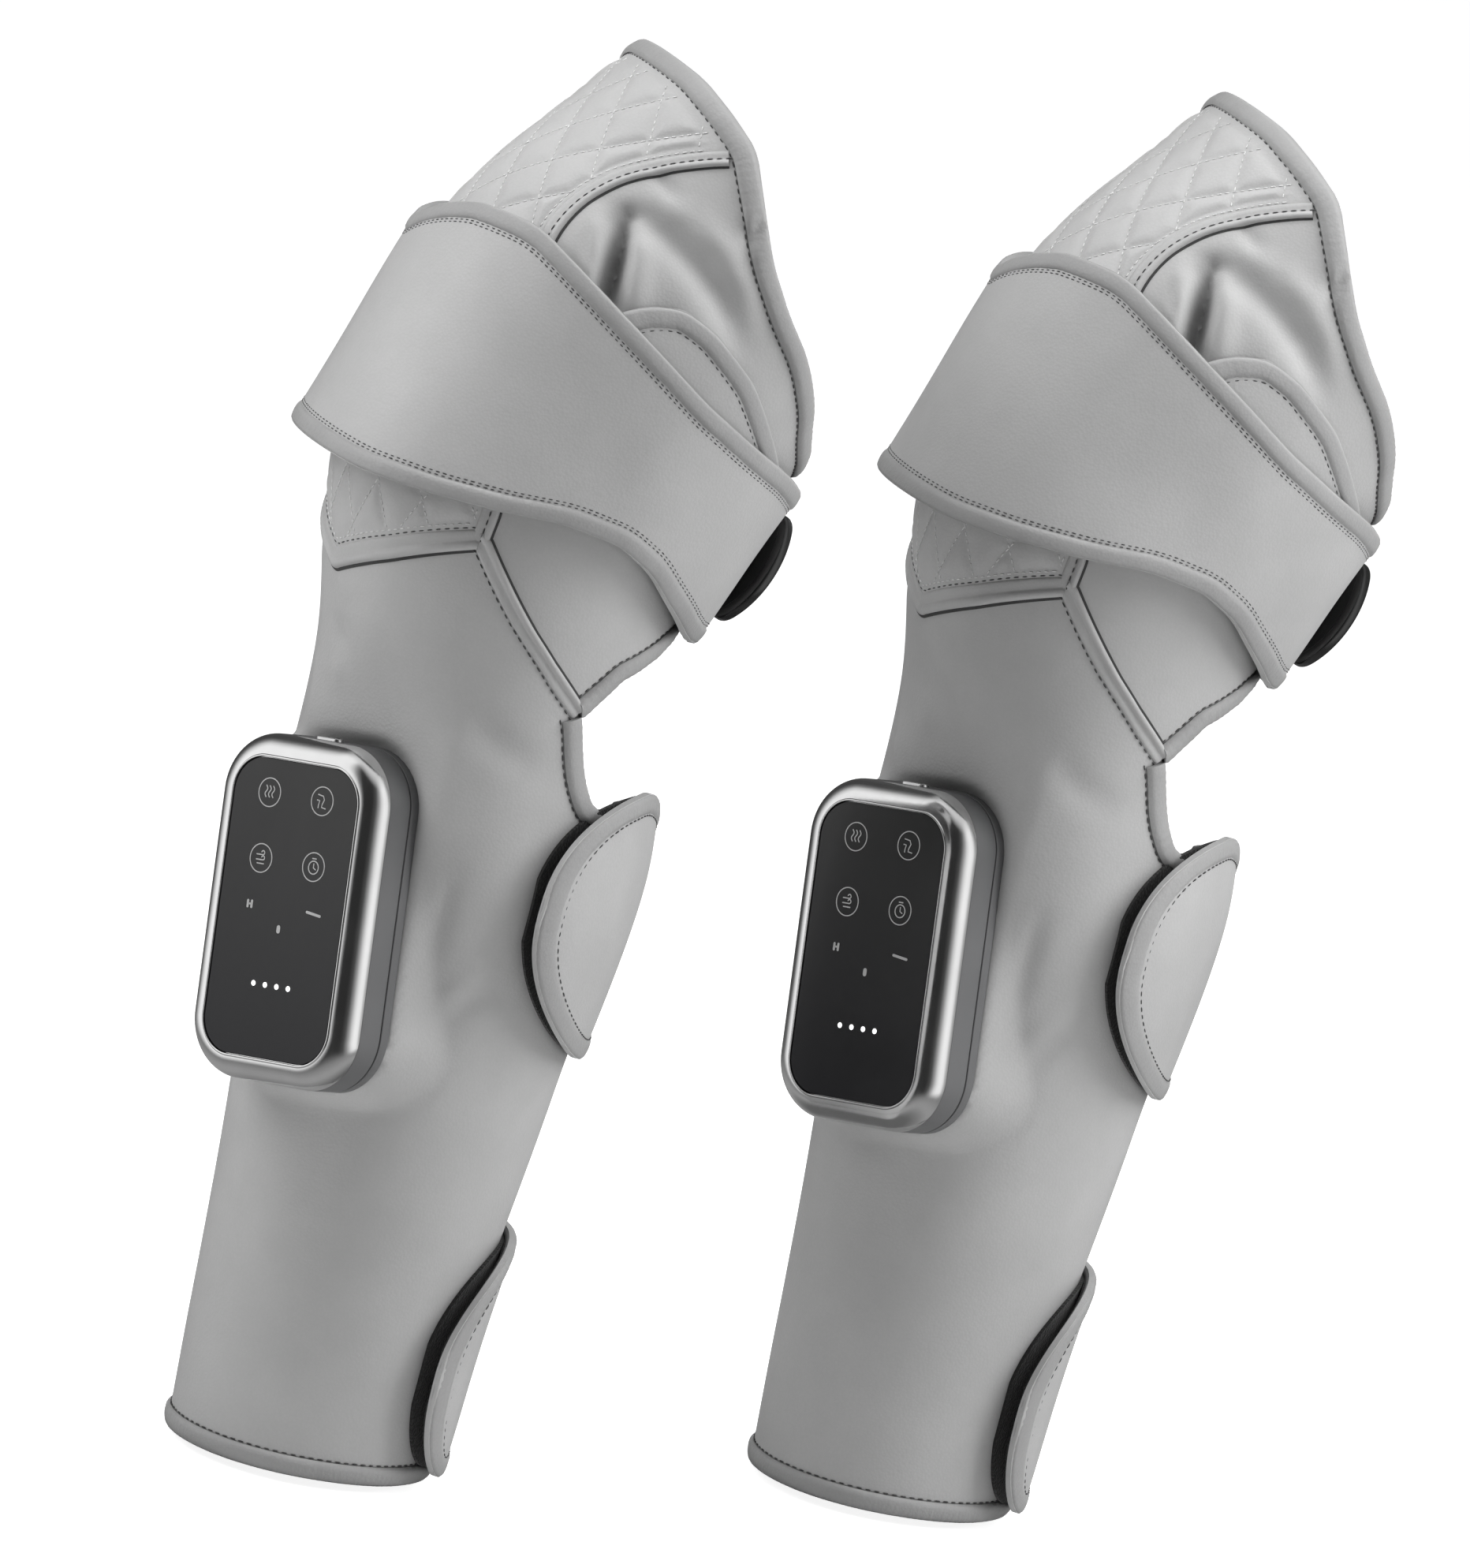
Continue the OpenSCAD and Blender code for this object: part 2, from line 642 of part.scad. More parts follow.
// Upper and lower strap: tip s, tip a, rise, its span in degrees and its power,
// drop, its span and its power, and fall of the upper edge up to the root
UPPER = [
    calf_len - upper_strap_drop, 96.5,
    upper_strap_rise, 38.5, 2.5, upper_strap_fall, 63.5, 2, upper_strap_taper
];
LOWER = [lower_strap_tip, 108.5, lower_strap_rise, 46.5, 2, lower_strap_fall, 30, 2.5, 0];
function strap_high(k, a) =
    let (past = a - k[1] - k[3], way = strap_root_a - k[1] - k[3])
    k[0] + k[2] * rounded_end(-past / k[3], k[4]) - k[8] * smooth(past / way);
function strap_low(k, a) = k[0] - k[5] * rounded_end(1 - (a - k[1]) / k[6], k[7]);
function strap_off(k, a) = strap_base + strap_lift * smooth((k[1] + 50 - a) / 50);
module strap_sheet(k, cols, rows)
    leg_sheet(
        function (u, a) [mix(strap_low(k, a), strap_high(k, a), u), a],
        rows, cols,
        function (u, a) strap_off(k, a) + strap_t, function (u, a) strap_off(k, a)
    );
function strap_cols(k) = concat(
    [for (x = [0.15, 1.2, 3.2, 6.5, 11, 17, 25, 35, 48]) k[1] + x],
    even(k[1] + 62, strap_root_a - 8, 3), [strap_root_a - 0.4]
);
module upper_calf_strap() color(leather) strap_sheet(UPPER, strap_cols(UPPER), 5);
module lower_calf_strap() color(leather) strap_sheet(LOWER, strap_cols(LOWER), 5);
module calf_strap_roots() color(leather)
    for (k = [UPPER, LOWER])
        strap_sheet(k, even(strap_root_a, strap_root_a + 22, 2), 5);

// Thigh strap, whose rounded tip shows above the knee band
THIGH_HIGH = [
    [57, 0], [58.5, 7], [61, 14], [64, 20], [70, 27], [80, 29], [97, 26], [114, 18],
    [128, 12], [172, 6]
];
THIGH_LOW = [[57, -2], [59, -12], [63, -20], [70, -27], [80, -31], [110, -33], [172, -36]];
thigh_strap_s = knee_end - 6;
module thigh_strap() color(leather)
    leg_sheet(
        function (u, a) [
            thigh_strap_s + mix(lookup(a, THIGH_LOW), lookup(a, THIGH_HIGH), u), a
        ],
        5, [57, 58.5, 61, 64, 70, 80, 97, 114, 128, 142, 157, 172],
        function (u, a) strap_gap + strap_t, function (u, a) strap_gap
    );

// Knee band: straight across its width between its two edges
BAND_HIGH = [
    [-100, 0], [-60, 0], [-20, -16], [5, -6], [30, 3], [60, 0], [90, -2], [110, 0],
    [130, 3], [200, 4]
];
BAND_LOW = [
    [-100, 0], [22, -1], [43, 1], [61, 4], [77, 8], [94, 8], [108, 1], [129, -21],
    [139, -33], [160, -40], [200, -40]
];
BAND_FRONT = [[-90, 0], [-70, 0], [-20, 1], [20, 1], [95, 0]];
band_root_a = -98;
function band_lift(a, front) =
    mix(
        on_shell + band_t,
        mix(band_side_lift, front, smooth(lookup(a, BAND_FRONT))),
        smooth((a - band_root_a) / 20)
    );
function band_at(v, a, o) =
    mix(
        leg(
            calf_len + band_bottom + lookup(a, BAND_LOW), a,
            band_lift(a, band_bottom_lift) + o
        ),
        leg(knee_end + band_top + lookup(a, BAND_HIGH), a, band_lift(a, band_top_lift) + o),
        v
    );
module band_sheet(cols)
    sheet(
        [for (v = even(0, 1, 4)) [for (a = cols) band_at(v, a, 0)]],
        [for (v = even(0, 1, 4)) [for (a = cols) band_at(v, a, -band_t)]]
    );
band_end_a = 196;
module knee_band() color(leather)
    band_sheet([
        -98, -88, -78, -64, -50, -36, -22, -8, 6, 20, 34, 48, 61, 77, 94, 108, 118, 129,
        139, band_fold_a - 0.35
    ]);

// The pull ring lies along the leg at the back of the knee, its straight bar in a keeper loop
ring_v = 0.5;
keeper_in = ring_t / sqrt(2) + 0.35;
keeper_out = keeper_in + keeper_t;
ring_corner = 9;
// From the middle of the bar in the keeper to the web
ring_slot = keeper_out + 1.5;
ring_at = band_at(ring_v, ring_a, keeper_out + 0.15);
ring_free = band_at(ring_v, ring_a - 14, keeper_out + 5);
ring_axis = unit(band_at(1, ring_a, 0) - band_at(0, ring_a, 0));
ring_dir = unit((ring_free - ring_at) - ring_axis * ((ring_free - ring_at) * ring_axis));
module on_ring() translate(ring_at) along(ring_axis, ring_dir) children();
module knee_band_end() color(leather) {
    band_sheet(concat(even(band_fold_a, band_end_a - 6, 5), [band_end_a]));
    on_ring() translate([0, 0, -keeper_len / 2]) difference() {
        cylinder(r = keeper_out, h = keeper_len);
        translate([0, 0, -1]) cylinder(r = keeper_in, h = keeper_len + 2);
    }
}
module ring_face(inset) offset(delta = -inset) intersection() {
    rounded(ring_w, ring_len, ring_corner);
    translate([ring_w / 2 - ring_bow, 0]) circle(r = ring_bow);
}
module knee_ring() color(black_plastic)
    on_ring() translate([ring_w / 2 - ring_t / 2, ring_t / 2, 0]) rotate([90, 0, 0]) {
        linear_extrude(ring_t) difference() {
            ring_face(0);
            ring_face(ring_t);
        }
        translate([0, 0, (ring_t - ring_web_t) / 2]) linear_extrude(ring_web_t) intersection() {
            ring_face(ring_t / 2);
            translate([ring_t / 2 + ring_slot - ring_w / 2, -ring_len / 2]) square([ring_w, ring_len]);
        }
    }

// Turns +Z to the unit vector up and +X to the unit vector out, which is square to it
function unit(p) = p / norm(p);
module along(up, out) {
    yaw = atan2(up[1], up[0]);
    tilt = acos(up[2]);
    flat = [cos(yaw) * cos(tilt), sin(yaw) * cos(tilt), -sin(tilt)];
    side = [-sin(yaw), cos(yaw), 0];
    rotate([0, tilt, yaw]) rotate([0, 0, atan2(out * side, out * flat)]) children();
}
module rounded(w, h, r) {
    square([w - 2 * r, h], center = true);
    square([w, h - 2 * r], center = true);
    for (x = [-1, 1]) for (y = [-1, 1])
        translate([x * (w / 2 - r), y * (h / 2 - r)]) circle(r);
}
module slab(w, h, r, z, t) translate([0, 0, z]) linear_extrude(t) rounded(w, h, r);
module on_seat()
    translate(seat_at) rotate([90 + ctl_pitch, 0, ctl_a - 90]) rotate([0, 0, ctl_roll])
        children();
module at_corners(x, y)
    for (i = [-1, 1]) for (j = [-1, 1]) translate([i * x, j * y, 0]) children();

// Controller: its rear housing with bosses, and the metal bezel round the glass
module rear_housing() color(dark_plastic) on_seat() difference() {
    union() {
        difference() {
            slab(ctl_w, ctl_h, ctl_r, 0, bezel_z - part_gap);
            slab(
                ctl_w - 2 * housing_t, ctl_h - 2 * housing_t, ctl_r - housing_t,
                floor_t, bezel_z
            );
            difference() {
                slab(ctl_w + 2, ctl_h + 2, ctl_r + 1, groove_z, groove_w);
                slab(
                    ctl_w - 2 * groove_d, ctl_h - 2 * groove_d, ctl_r - groove_d,
                    groove_z - 1, groove_w + 2
                );
            }
        }
        at_corners(boss_x, boss_y) cylinder(r = boss_r, h = board_z - part_gap);
        at_corners(screw_x, screw_y) cylinder(r = boss_r, h = floor_t + screw_bite);
    }
    at_corners(screw_x, screw_y) translate([0, 0, -1])
        cylinder(r = screw_r + 0.05, h = screw_bite + 1);
    translate([0, button_y + 1, button_z]) rotate([90, 0, 0])
        linear_extrude(2 * housing_t + 2)
        rounded(button_len + 2 * button_gap, button_h + 2 * button_gap,
            button_h / 2 + button_gap - 0.01);
    translate([0, 1 - ctl_h / 2 + housing_t, socket_z]) rotate([90, 0, 0])
        linear_extrude(housing_t + 2) rounded(socket_w + 0.6, socket_h + 0.6,
            socket_h / 2 + 0.29);
    for (x = [-hose_x, hose_x]) translate([x, hose_y, -1])
        cylinder(r = hose_r + 0.2, h = floor_t + 2);
}
module bezel_profile() {
    translate([lip_w, bezel_z]) intersection() {
        circle(bezel_r, $fn = 72);
        square(bezel_r);
    }
    translate([0, bezel_z]) square([lip_w, front_z - 0.2 + lip_h - bezel_z]);
    translate([-ledge_w, ledge_z - part_gap - ledge_t]) square([ledge_w, ledge_t]);
}
module bezel_frame() color(bright_metal) on_seat()
    for (q = [0:3]) rotate([0, 0, 90 * q]) {
        w = q % 2 == 0 ? open_w : open_h;
        h = q % 2 == 0 ? open_h : open_w;
        translate([w / 2, h / 2 - open_r, 0]) rotate([90, 0, 0])
            linear_extrude(h - 2 * open_r) bezel_profile();
        translate([w / 2 - open_r, h / 2 - open_r, 0]) rotate_extrude(angle = 90)
            translate([open_r, 0]) bezel_profile();
    }
module glass_panel() color(dark_glass) on_seat()
    slab(
        open_w - 2 * glass_gap, open_h - 2 * glass_gap, open_r - glass_gap, ledge_z, glass_t
    );

// The button slides in its slot against a flange inside the wall
module power_button() color(bright_metal) on_seat()
    translate([0, 0, button_z]) rotate([90, 0, 0]) {
        translate([0, 0, -button_y - button_proud])
            linear_extrude(button_proud + housing_t + part_gap)
            rounded(button_len, button_h, button_h / 2 - 0.01);
        translate([0, 0, -button_y + housing_t + part_gap])
            linear_extrude(1) rounded(button_len + 3, button_h + 1.6, button_h / 2);
    }
module charge_socket() color(steel) on_seat()
    translate([0, 0.4 - ctl_h / 2, socket_z]) rotate([-90, 0, 0]) {
        linear_extrude(socket_len) difference() {
            rounded(socket_w, socket_h, socket_h / 2 - 0.01);
            rounded(socket_w - 2 * socket_wall, socket_h - 2 * socket_wall,
                socket_h / 2 - socket_wall - 0.01);
        }
        translate([0, 0, socket_len - 1]) linear_extrude(1)
            rounded(socket_w - 0.2, socket_h - 0.2, socket_h / 2 - 0.12);
        translate([-3.2, -0.35, 1]) cube([6.4, 0.7, socket_len - 1.5]);
    }
module control_board() color(board_green) on_seat() {
    difference() {
        slab(board_w, board_h, 9, board_z, board_t);
        at_corners(boss_x, boss_y) translate([0, 0, board_z - 1])
            cylinder(r = 1.2, h = board_t + 2);
    }
    for (q = KEYS) translate([q[0], q[1], board_z + board_t - 0.01])
        cylinder(r = 4, h = ledge_z - part_gap - board_z - board_t);
    translate([-7, -14, board_z + board_t - 0.01]) cube([14, 14, 1.2]);
}
module battery_pack() color(cell_blue) on_seat()
    translate([-14, -7, 0]) slab(34, 50, 3, floor_t + part_gap, board_z - floor_t - 2);
module air_pump() color(steel) on_seat() {
    pump_z = floor_t + part_gap + pump_r;
    translate([20, -20, pump_z]) rotate([-90, 0, 0]) cylinder(r = pump_r, h = 30);
    translate([13, 9.9, floor_t + part_gap]) cube([14, 14, 2 * pump_r]);
    translate([14, hose_y - 2.6, pump_z]) rotate([90, 0, 0]) cylinder(r = 1.2, h = 5.1);
    translate([21.5, -38, floor_t + part_gap]) cube([9, 16, 8.5]);
}
module air_hoses() color(clear_film) on_seat() {
    duct_z = -layer_gap - shell_t - layer_gap - plate_t - layer_gap;
    for (side = [-1, 1]) {
        difference() {
            union() {
                translate([side * hose_x, hose_y, duct_z - hose_flat])
                    cylinder(r = hose_r, h = 8 - duct_z + hose_flat);
                translate([side * hose_x, hose_y - 3, duct_z - hose_flat])
                    mirror([side < 0 ? 1 : 0, 0, 0]) cube([duct_len, 6, hose_flat]);
            }
            translate([side * hose_x, hose_y, duct_z - hose_flat + 0.8])
                cylinder(r = hose_r - 0.8, h = 20);
        }
    }
}
module mounting_plate() color(dark_plastic) on_seat() difference() {
    union() {
        slab(
            window_w - 2 * layer_gap, window_h - 2 * layer_gap, 2,
            flange_z, -flange_z - part_gap
        );
        slab(
            window_w + 2 * flange, window_h + 2 * flange, 8, flange_z - plate_t, plate_t
        );
    }
    at_corners(screw_x, screw_y) translate([0, 0, -10]) cylinder(r = screw_r + 0.2, h = 20);
    for (x = [-hose_x, hose_x]) translate([x, hose_y, -10])
        cylinder(r = hose_r + 0.2, h = 20);
}
module housing_screws() color(steel) on_seat()
    at_corners(screw_x, screw_y) {
        translate([0, 0, flange_z - plate_t - part_gap - 1.4]) cylinder(r = 2.3, h = 1.4);
        translate([0, 0, flange_z - plate_t - part_gap - 0.1])
            cylinder(r = screw_r, h = screw_bite - flange_z + plate_t - 0.4);
    }

module place(side) translate(side == "right" ? [pair_back, pair_side, 0] : [0, 0, 0])
    children();

for (side = SIDES)
    place(side) {
        calf_shell();
        knee_panel();
        side_panels();
        calf_lining();
        thigh_lining();
        air_chambers();
        thigh_foam();
        knee_heating_pad();
        hem_binding();
        rim_binding();
        notch_binding();
        piping();
        calf_strap_roots();
        upper_calf_strap();
        lower_calf_strap();
        thigh_strap();
        knee_band();
        knee_band_end();
        knee_ring();
        rear_housing();
        bezel_frame();
        glass_panel();
        power_button();
        charge_socket();
        control_board();
        battery_pack();
        air_pump();
        air_hoses();
        mounting_plate();
        housing_screws();
    }
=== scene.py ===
"""Two knee and calf massagers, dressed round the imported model.

Places on a sleeve are s, the length up the leg's centre line from the ankle hem
in millimetres, a, the angle round the leg from the shin towards the outer side
in degrees, and o, the height above the sleeve's outer face in millimetres.
"""
import math
from collections import namedtuple

import bmesh
import bpy
import numpy as np
from mathutils import Matrix, Vector


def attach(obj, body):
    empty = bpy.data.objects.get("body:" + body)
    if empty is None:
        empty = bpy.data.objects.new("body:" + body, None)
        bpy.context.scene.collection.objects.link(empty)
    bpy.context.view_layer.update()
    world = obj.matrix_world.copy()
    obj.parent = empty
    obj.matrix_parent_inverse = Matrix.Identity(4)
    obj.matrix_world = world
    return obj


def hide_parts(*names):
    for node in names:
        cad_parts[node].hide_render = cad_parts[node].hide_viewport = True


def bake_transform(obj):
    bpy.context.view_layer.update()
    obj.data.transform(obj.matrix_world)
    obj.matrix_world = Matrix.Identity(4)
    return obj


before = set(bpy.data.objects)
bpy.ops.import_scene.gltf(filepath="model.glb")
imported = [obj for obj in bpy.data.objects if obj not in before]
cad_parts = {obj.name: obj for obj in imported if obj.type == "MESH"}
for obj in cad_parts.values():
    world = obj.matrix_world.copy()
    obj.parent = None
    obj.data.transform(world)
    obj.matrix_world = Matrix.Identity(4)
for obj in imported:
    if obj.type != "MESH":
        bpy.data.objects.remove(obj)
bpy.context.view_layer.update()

MM = 0.001
PAIR = {"left": np.zeros(3), "right": np.array([254.0, 24.0, 0.0])}

# ---------------------------------------------------------------- leg form
CALF_LEN, KNEE_ANGLE, KNEE_RADIUS, THIGH_LEN = 335.0, 35.0, 165.0, 88.0
ARC_LEN = KNEE_RADIUS * math.radians(KNEE_ANGLE)
KNEE_END = CALF_LEN + ARC_LEN
RIM_TOP = KNEE_END + THIGH_LEN
ANKLE, CALF = np.array([54.0, 45, 47]), np.array([60.0, 74, 66])
WAIST, KNEE, THIGH = CALF - [0, 4, 4], np.array([81.0, 75, 68]), np.array([77.0, 78, 71])
SECTIONS = [
    (0, ANKLE),
    (0.21 * CALF_LEN, ANKLE + 0.22 * (CALF - ANKLE)),
    (0.45 * CALF_LEN, ANKLE + 0.60 * (CALF - ANKLE)),
    (0.70 * CALF_LEN, CALF),
    (0.90 * CALF_LEN, WAIST),
    (CALF_LEN + 0.1 * ARC_LEN, WAIST + 0.4 * (KNEE - WAIST)),
    (CALF_LEN + 0.55 * ARC_LEN, KNEE),
    (KNEE_END + 4, KNEE + [5, 5, 2]),
    (KNEE_END + 0.73 * THIGH_LEN, THIGH),
    (KNEE_END + 1.18 * THIGH_LEN, THIGH + [-7, -2, 1]),
]
SECTION_S = np.array([q[0] for q in SECTIONS])
FRONT_R, BACK_R, SIDE_R = np.array([q[1] for q in SECTIONS]).T
SHELL_IN, FILL_OUT, FILL_IN, LINING_OUT, LINING_IN = -2.0, -2.9, -6.9, -7.8, -9.8
PANEL_A, PANEL_RIM_A, BACK_A, SLIT_A = 57.0, 52.0, 178.0, 197.0
ROUND_MM = 1.2  # mm round the sleeve for one degree, as cloth is laid out
SLIT_HALF = math.degrees(1.75 / CALF[1])
SHELL_END, SHELL_START = SLIT_A - SLIT_HALF, SLIT_A + SLIT_HALF - 360
CALF_TOP = [
    (0, 3), (28, 13), (57, 25), (80, -4), (103, -31), (105, -43),
    (107.5, -54), (112, -64), (120, -70), (145, -73), (180, -73),
]
THIGH_BOTTOM = [
    (57, 25), (80, -4), (103, -31), (116, -16), (133, -8), (147, -1), (178, 5), (182, 5),
]
RIM_DROP = [
    (0, 0), (20, 0), (36, 3), (50, 7), (60, 16), (78, 33), (92, 42), (107, 48),
    (122, 57), (133, 65), (150, 71), (180, 73),
]
PANEL_SEAM = [
    (CALF_LEN + 25, 57), (CALF_LEN + 38, 57), (CALF_LEN + 65, 46), (KNEE_END + 4, 31),
    (KNEE_END + 22, 28), (KNEE_END + 39, 30), (KNEE_END + 54, 36), (KNEE_END + 68, 44),
    (RIM_TOP - 9, 52),
]
CTL_W, CTL_H, CTL_D, CTL_R = 79.0, 128.6, 24.5, 22.7
CTL_SEAT, CTL_DROP, CTL_A, CTL_PITCH, CTL_ROLL = 55.2, 126.0, 23.0, -5.0, 10.5
SEAT_BACK = -30.0  # the seat shapes nothing that lies further under it, as the leg's back


def turned(degrees):
    """Cosine and sine of an angle."""
    return math.cos(math.radians(degrees)), math.sin(math.radians(degrees))


ca, sa = turned(CTL_A)
cp, sp = turned(CTL_PITCH)
cr, sr = turned(CTL_ROLL)
FACE_N = np.array([-ca * cp, -sa * cp, -sp])
FACE_UP = np.array([-ca * sp, -sa * sp, cp])
FACE_SIDE = np.array([sa, -ca, 0.0])
CTL_X = FACE_SIDE * cr + FACE_UP * sr
CTL_Y = FACE_UP * cr - FACE_SIDE * sr
SEAT_AT = np.array([-ca * CTL_SEAT, -sa * CTL_SEAT, CALF_LEN - CTL_DROP])


def smooth(t):
    t = np.clip(t, 0, 1)
    return t * t * (3 - 2 * t)


def mix(p, q, t):
    return p + (q - p) * t


def pairs(first, second):
    """Points out of their first and second values."""
    return np.stack(np.broadcast_arrays(first, second), -1)


def unit(v):
    v = np.asarray(v, float)
    return v / np.linalg.norm(v, axis=-1, keepdims=True)


def hermite(places, values, x):
    """Smooth curve through stations, the same one as the part's source draws."""
    last = len(places) - 1
    i = np.arange(last + 1)
    low, high = np.maximum(i - 1, 0), np.minimum(i + 1, last)
    slope = (values[high] - values[low]) / (places[high] - places[low])
    x = np.clip(x, places[0], places[-1])
    i = np.clip(np.searchsorted(places, x, side="right") - 1, 0, last - 1)
    h = places[i + 1] - places[i]
    t = (x - places[i]) / h
    return (
        values[i] * (2 * t**3 - 3 * t**2 + 1) + slope[i] * h * (t**3 - 2 * t**2 + t)
        + values[i + 1] * (3 * t**2 - 2 * t**3) + slope[i + 1] * h * (t**3 - t**2)
    )


def stations(table, x):
    """Straight lines through a table of places and values."""
    return np.interp(x, [q[0] for q in table], [q[1] for q in table])


def past_seat(p):
    """How far points lie outside the controller's outline, and how high over its seat."""
    v = p - SEAT_AT
    x, y = abs(v @ CTL_X) - CTL_W / 2 + CTL_R, abs(v @ CTL_Y) - CTL_H / 2 + CTL_R
    round_off = np.hypot(np.maximum(x, 0), np.maximum(y, 0)) + np.minimum(np.maximum(x, y), 0)
    return round_off - CTL_R, v @ FACE_N


def seated(p, o):
    """Points of the sleeve, drawn on to the flat seat under and round the controller."""
    past, z = past_seat(p)
    gap = o - 0.3 - z
    pressed = 0.35 * smooth((past + 2) / 7) + 0.65 * smooth((past - 3) / 45)
    lifted = smooth((past + 1) / 7)
    near = np.where(z > SEAT_BACK, 1 - np.where(gap < 0, pressed, lifted), 0)
    return p + FACE_N * (near * gap)[..., None]


def leg(s, a, o=0.0):
    """Points in mm at a height over the plain sleeve, bent at the knee."""
    s, a, o = np.broadcast_arrays(*(np.asarray(v, float) for v in (s, a, o)))
    lean = np.radians(np.clip(np.degrees((s - CALF_LEN) / KNEE_RADIUS), 0, KNEE_ANGLE))
    past = np.maximum(s - KNEE_END, 0)
    cos_a, sin_a = np.cos(np.radians(a)), np.sin(np.radians(a))
    front, back = hermite(SECTION_S, FRONT_R, s), hermite(SECTION_S, BACK_R, s)
    f = (np.where(cos_a >= 0, front, back) + o) * cos_a
    side = (hermite(SECTION_S, SIDE_R, s) + o) * sin_a
    ck, sk = turned(KNEE_ANGLE)
    x = KNEE_RADIUS * (1 - np.cos(lean)) + past * sk - f * np.cos(lean)
    z = np.minimum(s, CALF_LEN) + KNEE_RADIUS * np.sin(lean) + past * ck + f * np.sin(lean)
    return seated(np.stack([x, -side, z], -1), o)


def round_a(a):
    """Angle from the shin to either side."""
    return abs(np.where(a > 180, a - 360, a))


def softened(table, a, reach=1.2):
    """A table of both sides with its corners rounded off."""
    return sum(stations(table, round_a(a + d)) for d in (-reach, 0, reach)) / 3


def averaged(table, a, offsets):
    """A table's mean over offsets from a place."""
    return sum(stations(table, a + d) for d in offsets) / len(offsets)


def calf_top(a):
    """The calf part's upper edge, with its dip at the slit."""
    off_slit = abs((a + 540 - SLIT_A) % 360 - 180)
    return CALF_LEN + softened(CALF_TOP, a) - 26 * (1 - smooth(off_slit / 40))


def thigh_bottom(a):
    """The lower edge of the gussets."""
    return CALF_LEN + softened(THIGH_BOTTOM, a, 0.6)


def rim(a):
    """The upper edge of the thigh part."""
    return RIM_TOP - softened(RIM_DROP, a, 3)


def panel_seam(s):
    """Angle of the front panel's side seams."""
    return hermite(*np.array(PANEL_SEAM).T, s)


def seam_up(u):
    """s along the side seam of the front panel, from its lower corner to the rim."""
    return mix(calf_top(PANEL_A), rim(PANEL_RIM_A), u)


def seam_side(u):
    return panel_seam(seam_up(u))


def arc_mm(s):
    """Millimetres round the leg's side for one degree."""
    return hermite(SECTION_S, SIDE_R, s) * math.pi / 180


# ---------------------------------------------------------------- folds
# Each fold: points of s and a along it, height, half width
FOLDS = [
    ([(468, 41), (464, 42), (455, 47), (443, 53), (434, 57), (424, 60)], -12.0, 3.6),
    ([(461, 35), (454, 39), (446, 45), (438, 50)], 2.2, 4.0),
    ([(467, 47), (459, 53), (450, 58), (442, 62)], 2.4, 4.5),
    ([(466, 38), (471, 46), (472, 53), (472, 64), (470, 74), (465, 84)], -3.4, 5.5),
    ([(480, 44), (484, 54), (483, 66), (477, 77), (468, 87)], 1.6, 5.0),
    ([(460, 68), (456, 80), (450, 92)], 1.8, 7.0),
    ([(456, 36), (450, 40), (444, 45)], -1.3, 2.2),
    ([(487, 36), (486, 41), (484, 47)], -1.5, 3.0),
    ([(488, 50), (480, 58)], -0.8, 4.0),
    ([(504, 66), (489, 70)], -1.8, 2.4),
    ([(300, 62), (289, 76), (284, 92)], -1.3, 7),
    ([(239, 69), (224, 68), (199, 66)], -1.8, 5),
    ([(210, 94), (200, 82), (188, 69)], 1.3, 5),
    ([(196, 92), (186, 81), (176, 74)], -1.3, 5),
    ([(331, 10), (326, 2)], 0.8, 6),
    ([(313, 10), (312, 0)], -1.0, 6),
    ([(298, 8), (297, 0)], 0.8, 6),
    ([(142, 40), (122, 46), (100, 44)], -1.0, 12),
    ([(60, -12), (40, 18), (26, 44)], -0.7, 13),
]


def fold_distance(s, a, points):
    """Distance in mm to a line of points, and how far along it, from 0 to 1."""
    best, along = np.full(s.shape, 1e9), np.zeros(s.shape)
    line = np.array(points) * (1, ROUND_MM)
    runs = np.linalg.norm(np.diff(line, axis=0), axis=1)
    start = np.concatenate([[0], np.cumsum(runs)])
    for i, run in enumerate(runs):
        d = (line[i + 1] - line[i]) / run
        up, across = s - line[i, 0], a * ROUND_MM - line[i, 1]
        t = np.clip(up * d[0] + across * d[1], 0, run)
        gap = np.hypot(up - t * d[0], across - t * d[1])
        closer = gap < best
        along = np.where(closer, (start[i] + t) / start[-1], along)
        best = np.where(closer, gap, best)
    return best, along


def relief(s, a):
    """Folds and slack of the sleeve's cloth, in mm."""
    s, a = np.broadcast_arrays(np.asarray(s, float), np.asarray(a, float))
    a = np.where(a > 180, a - 360, a)
    r = np.radians(a)
    h = 0.5 * np.sin(s / 31 + 2.1 * np.cos(r)) * np.sin(2 * r + s / 67)
    for points, height, width in FOLDS:
        gap, along = fold_distance(s, a, points)
        taper = np.sqrt(np.clip(np.sin(math.pi * np.clip(along, 0.03, 0.97)), 0, 1))
        h = h + height * np.exp(-((gap / width) ** 2)) * taper
    return h


def sleeve(s, a, o=0.0):
    """Points over the sleeve with its folds, which fade out at the controller."""
    past, z = past_seat(leg(s, a, o))
    return leg(s, a, o + relief(s, a) * np.where(z > SEAT_BACK, smooth(past / 12), 1))


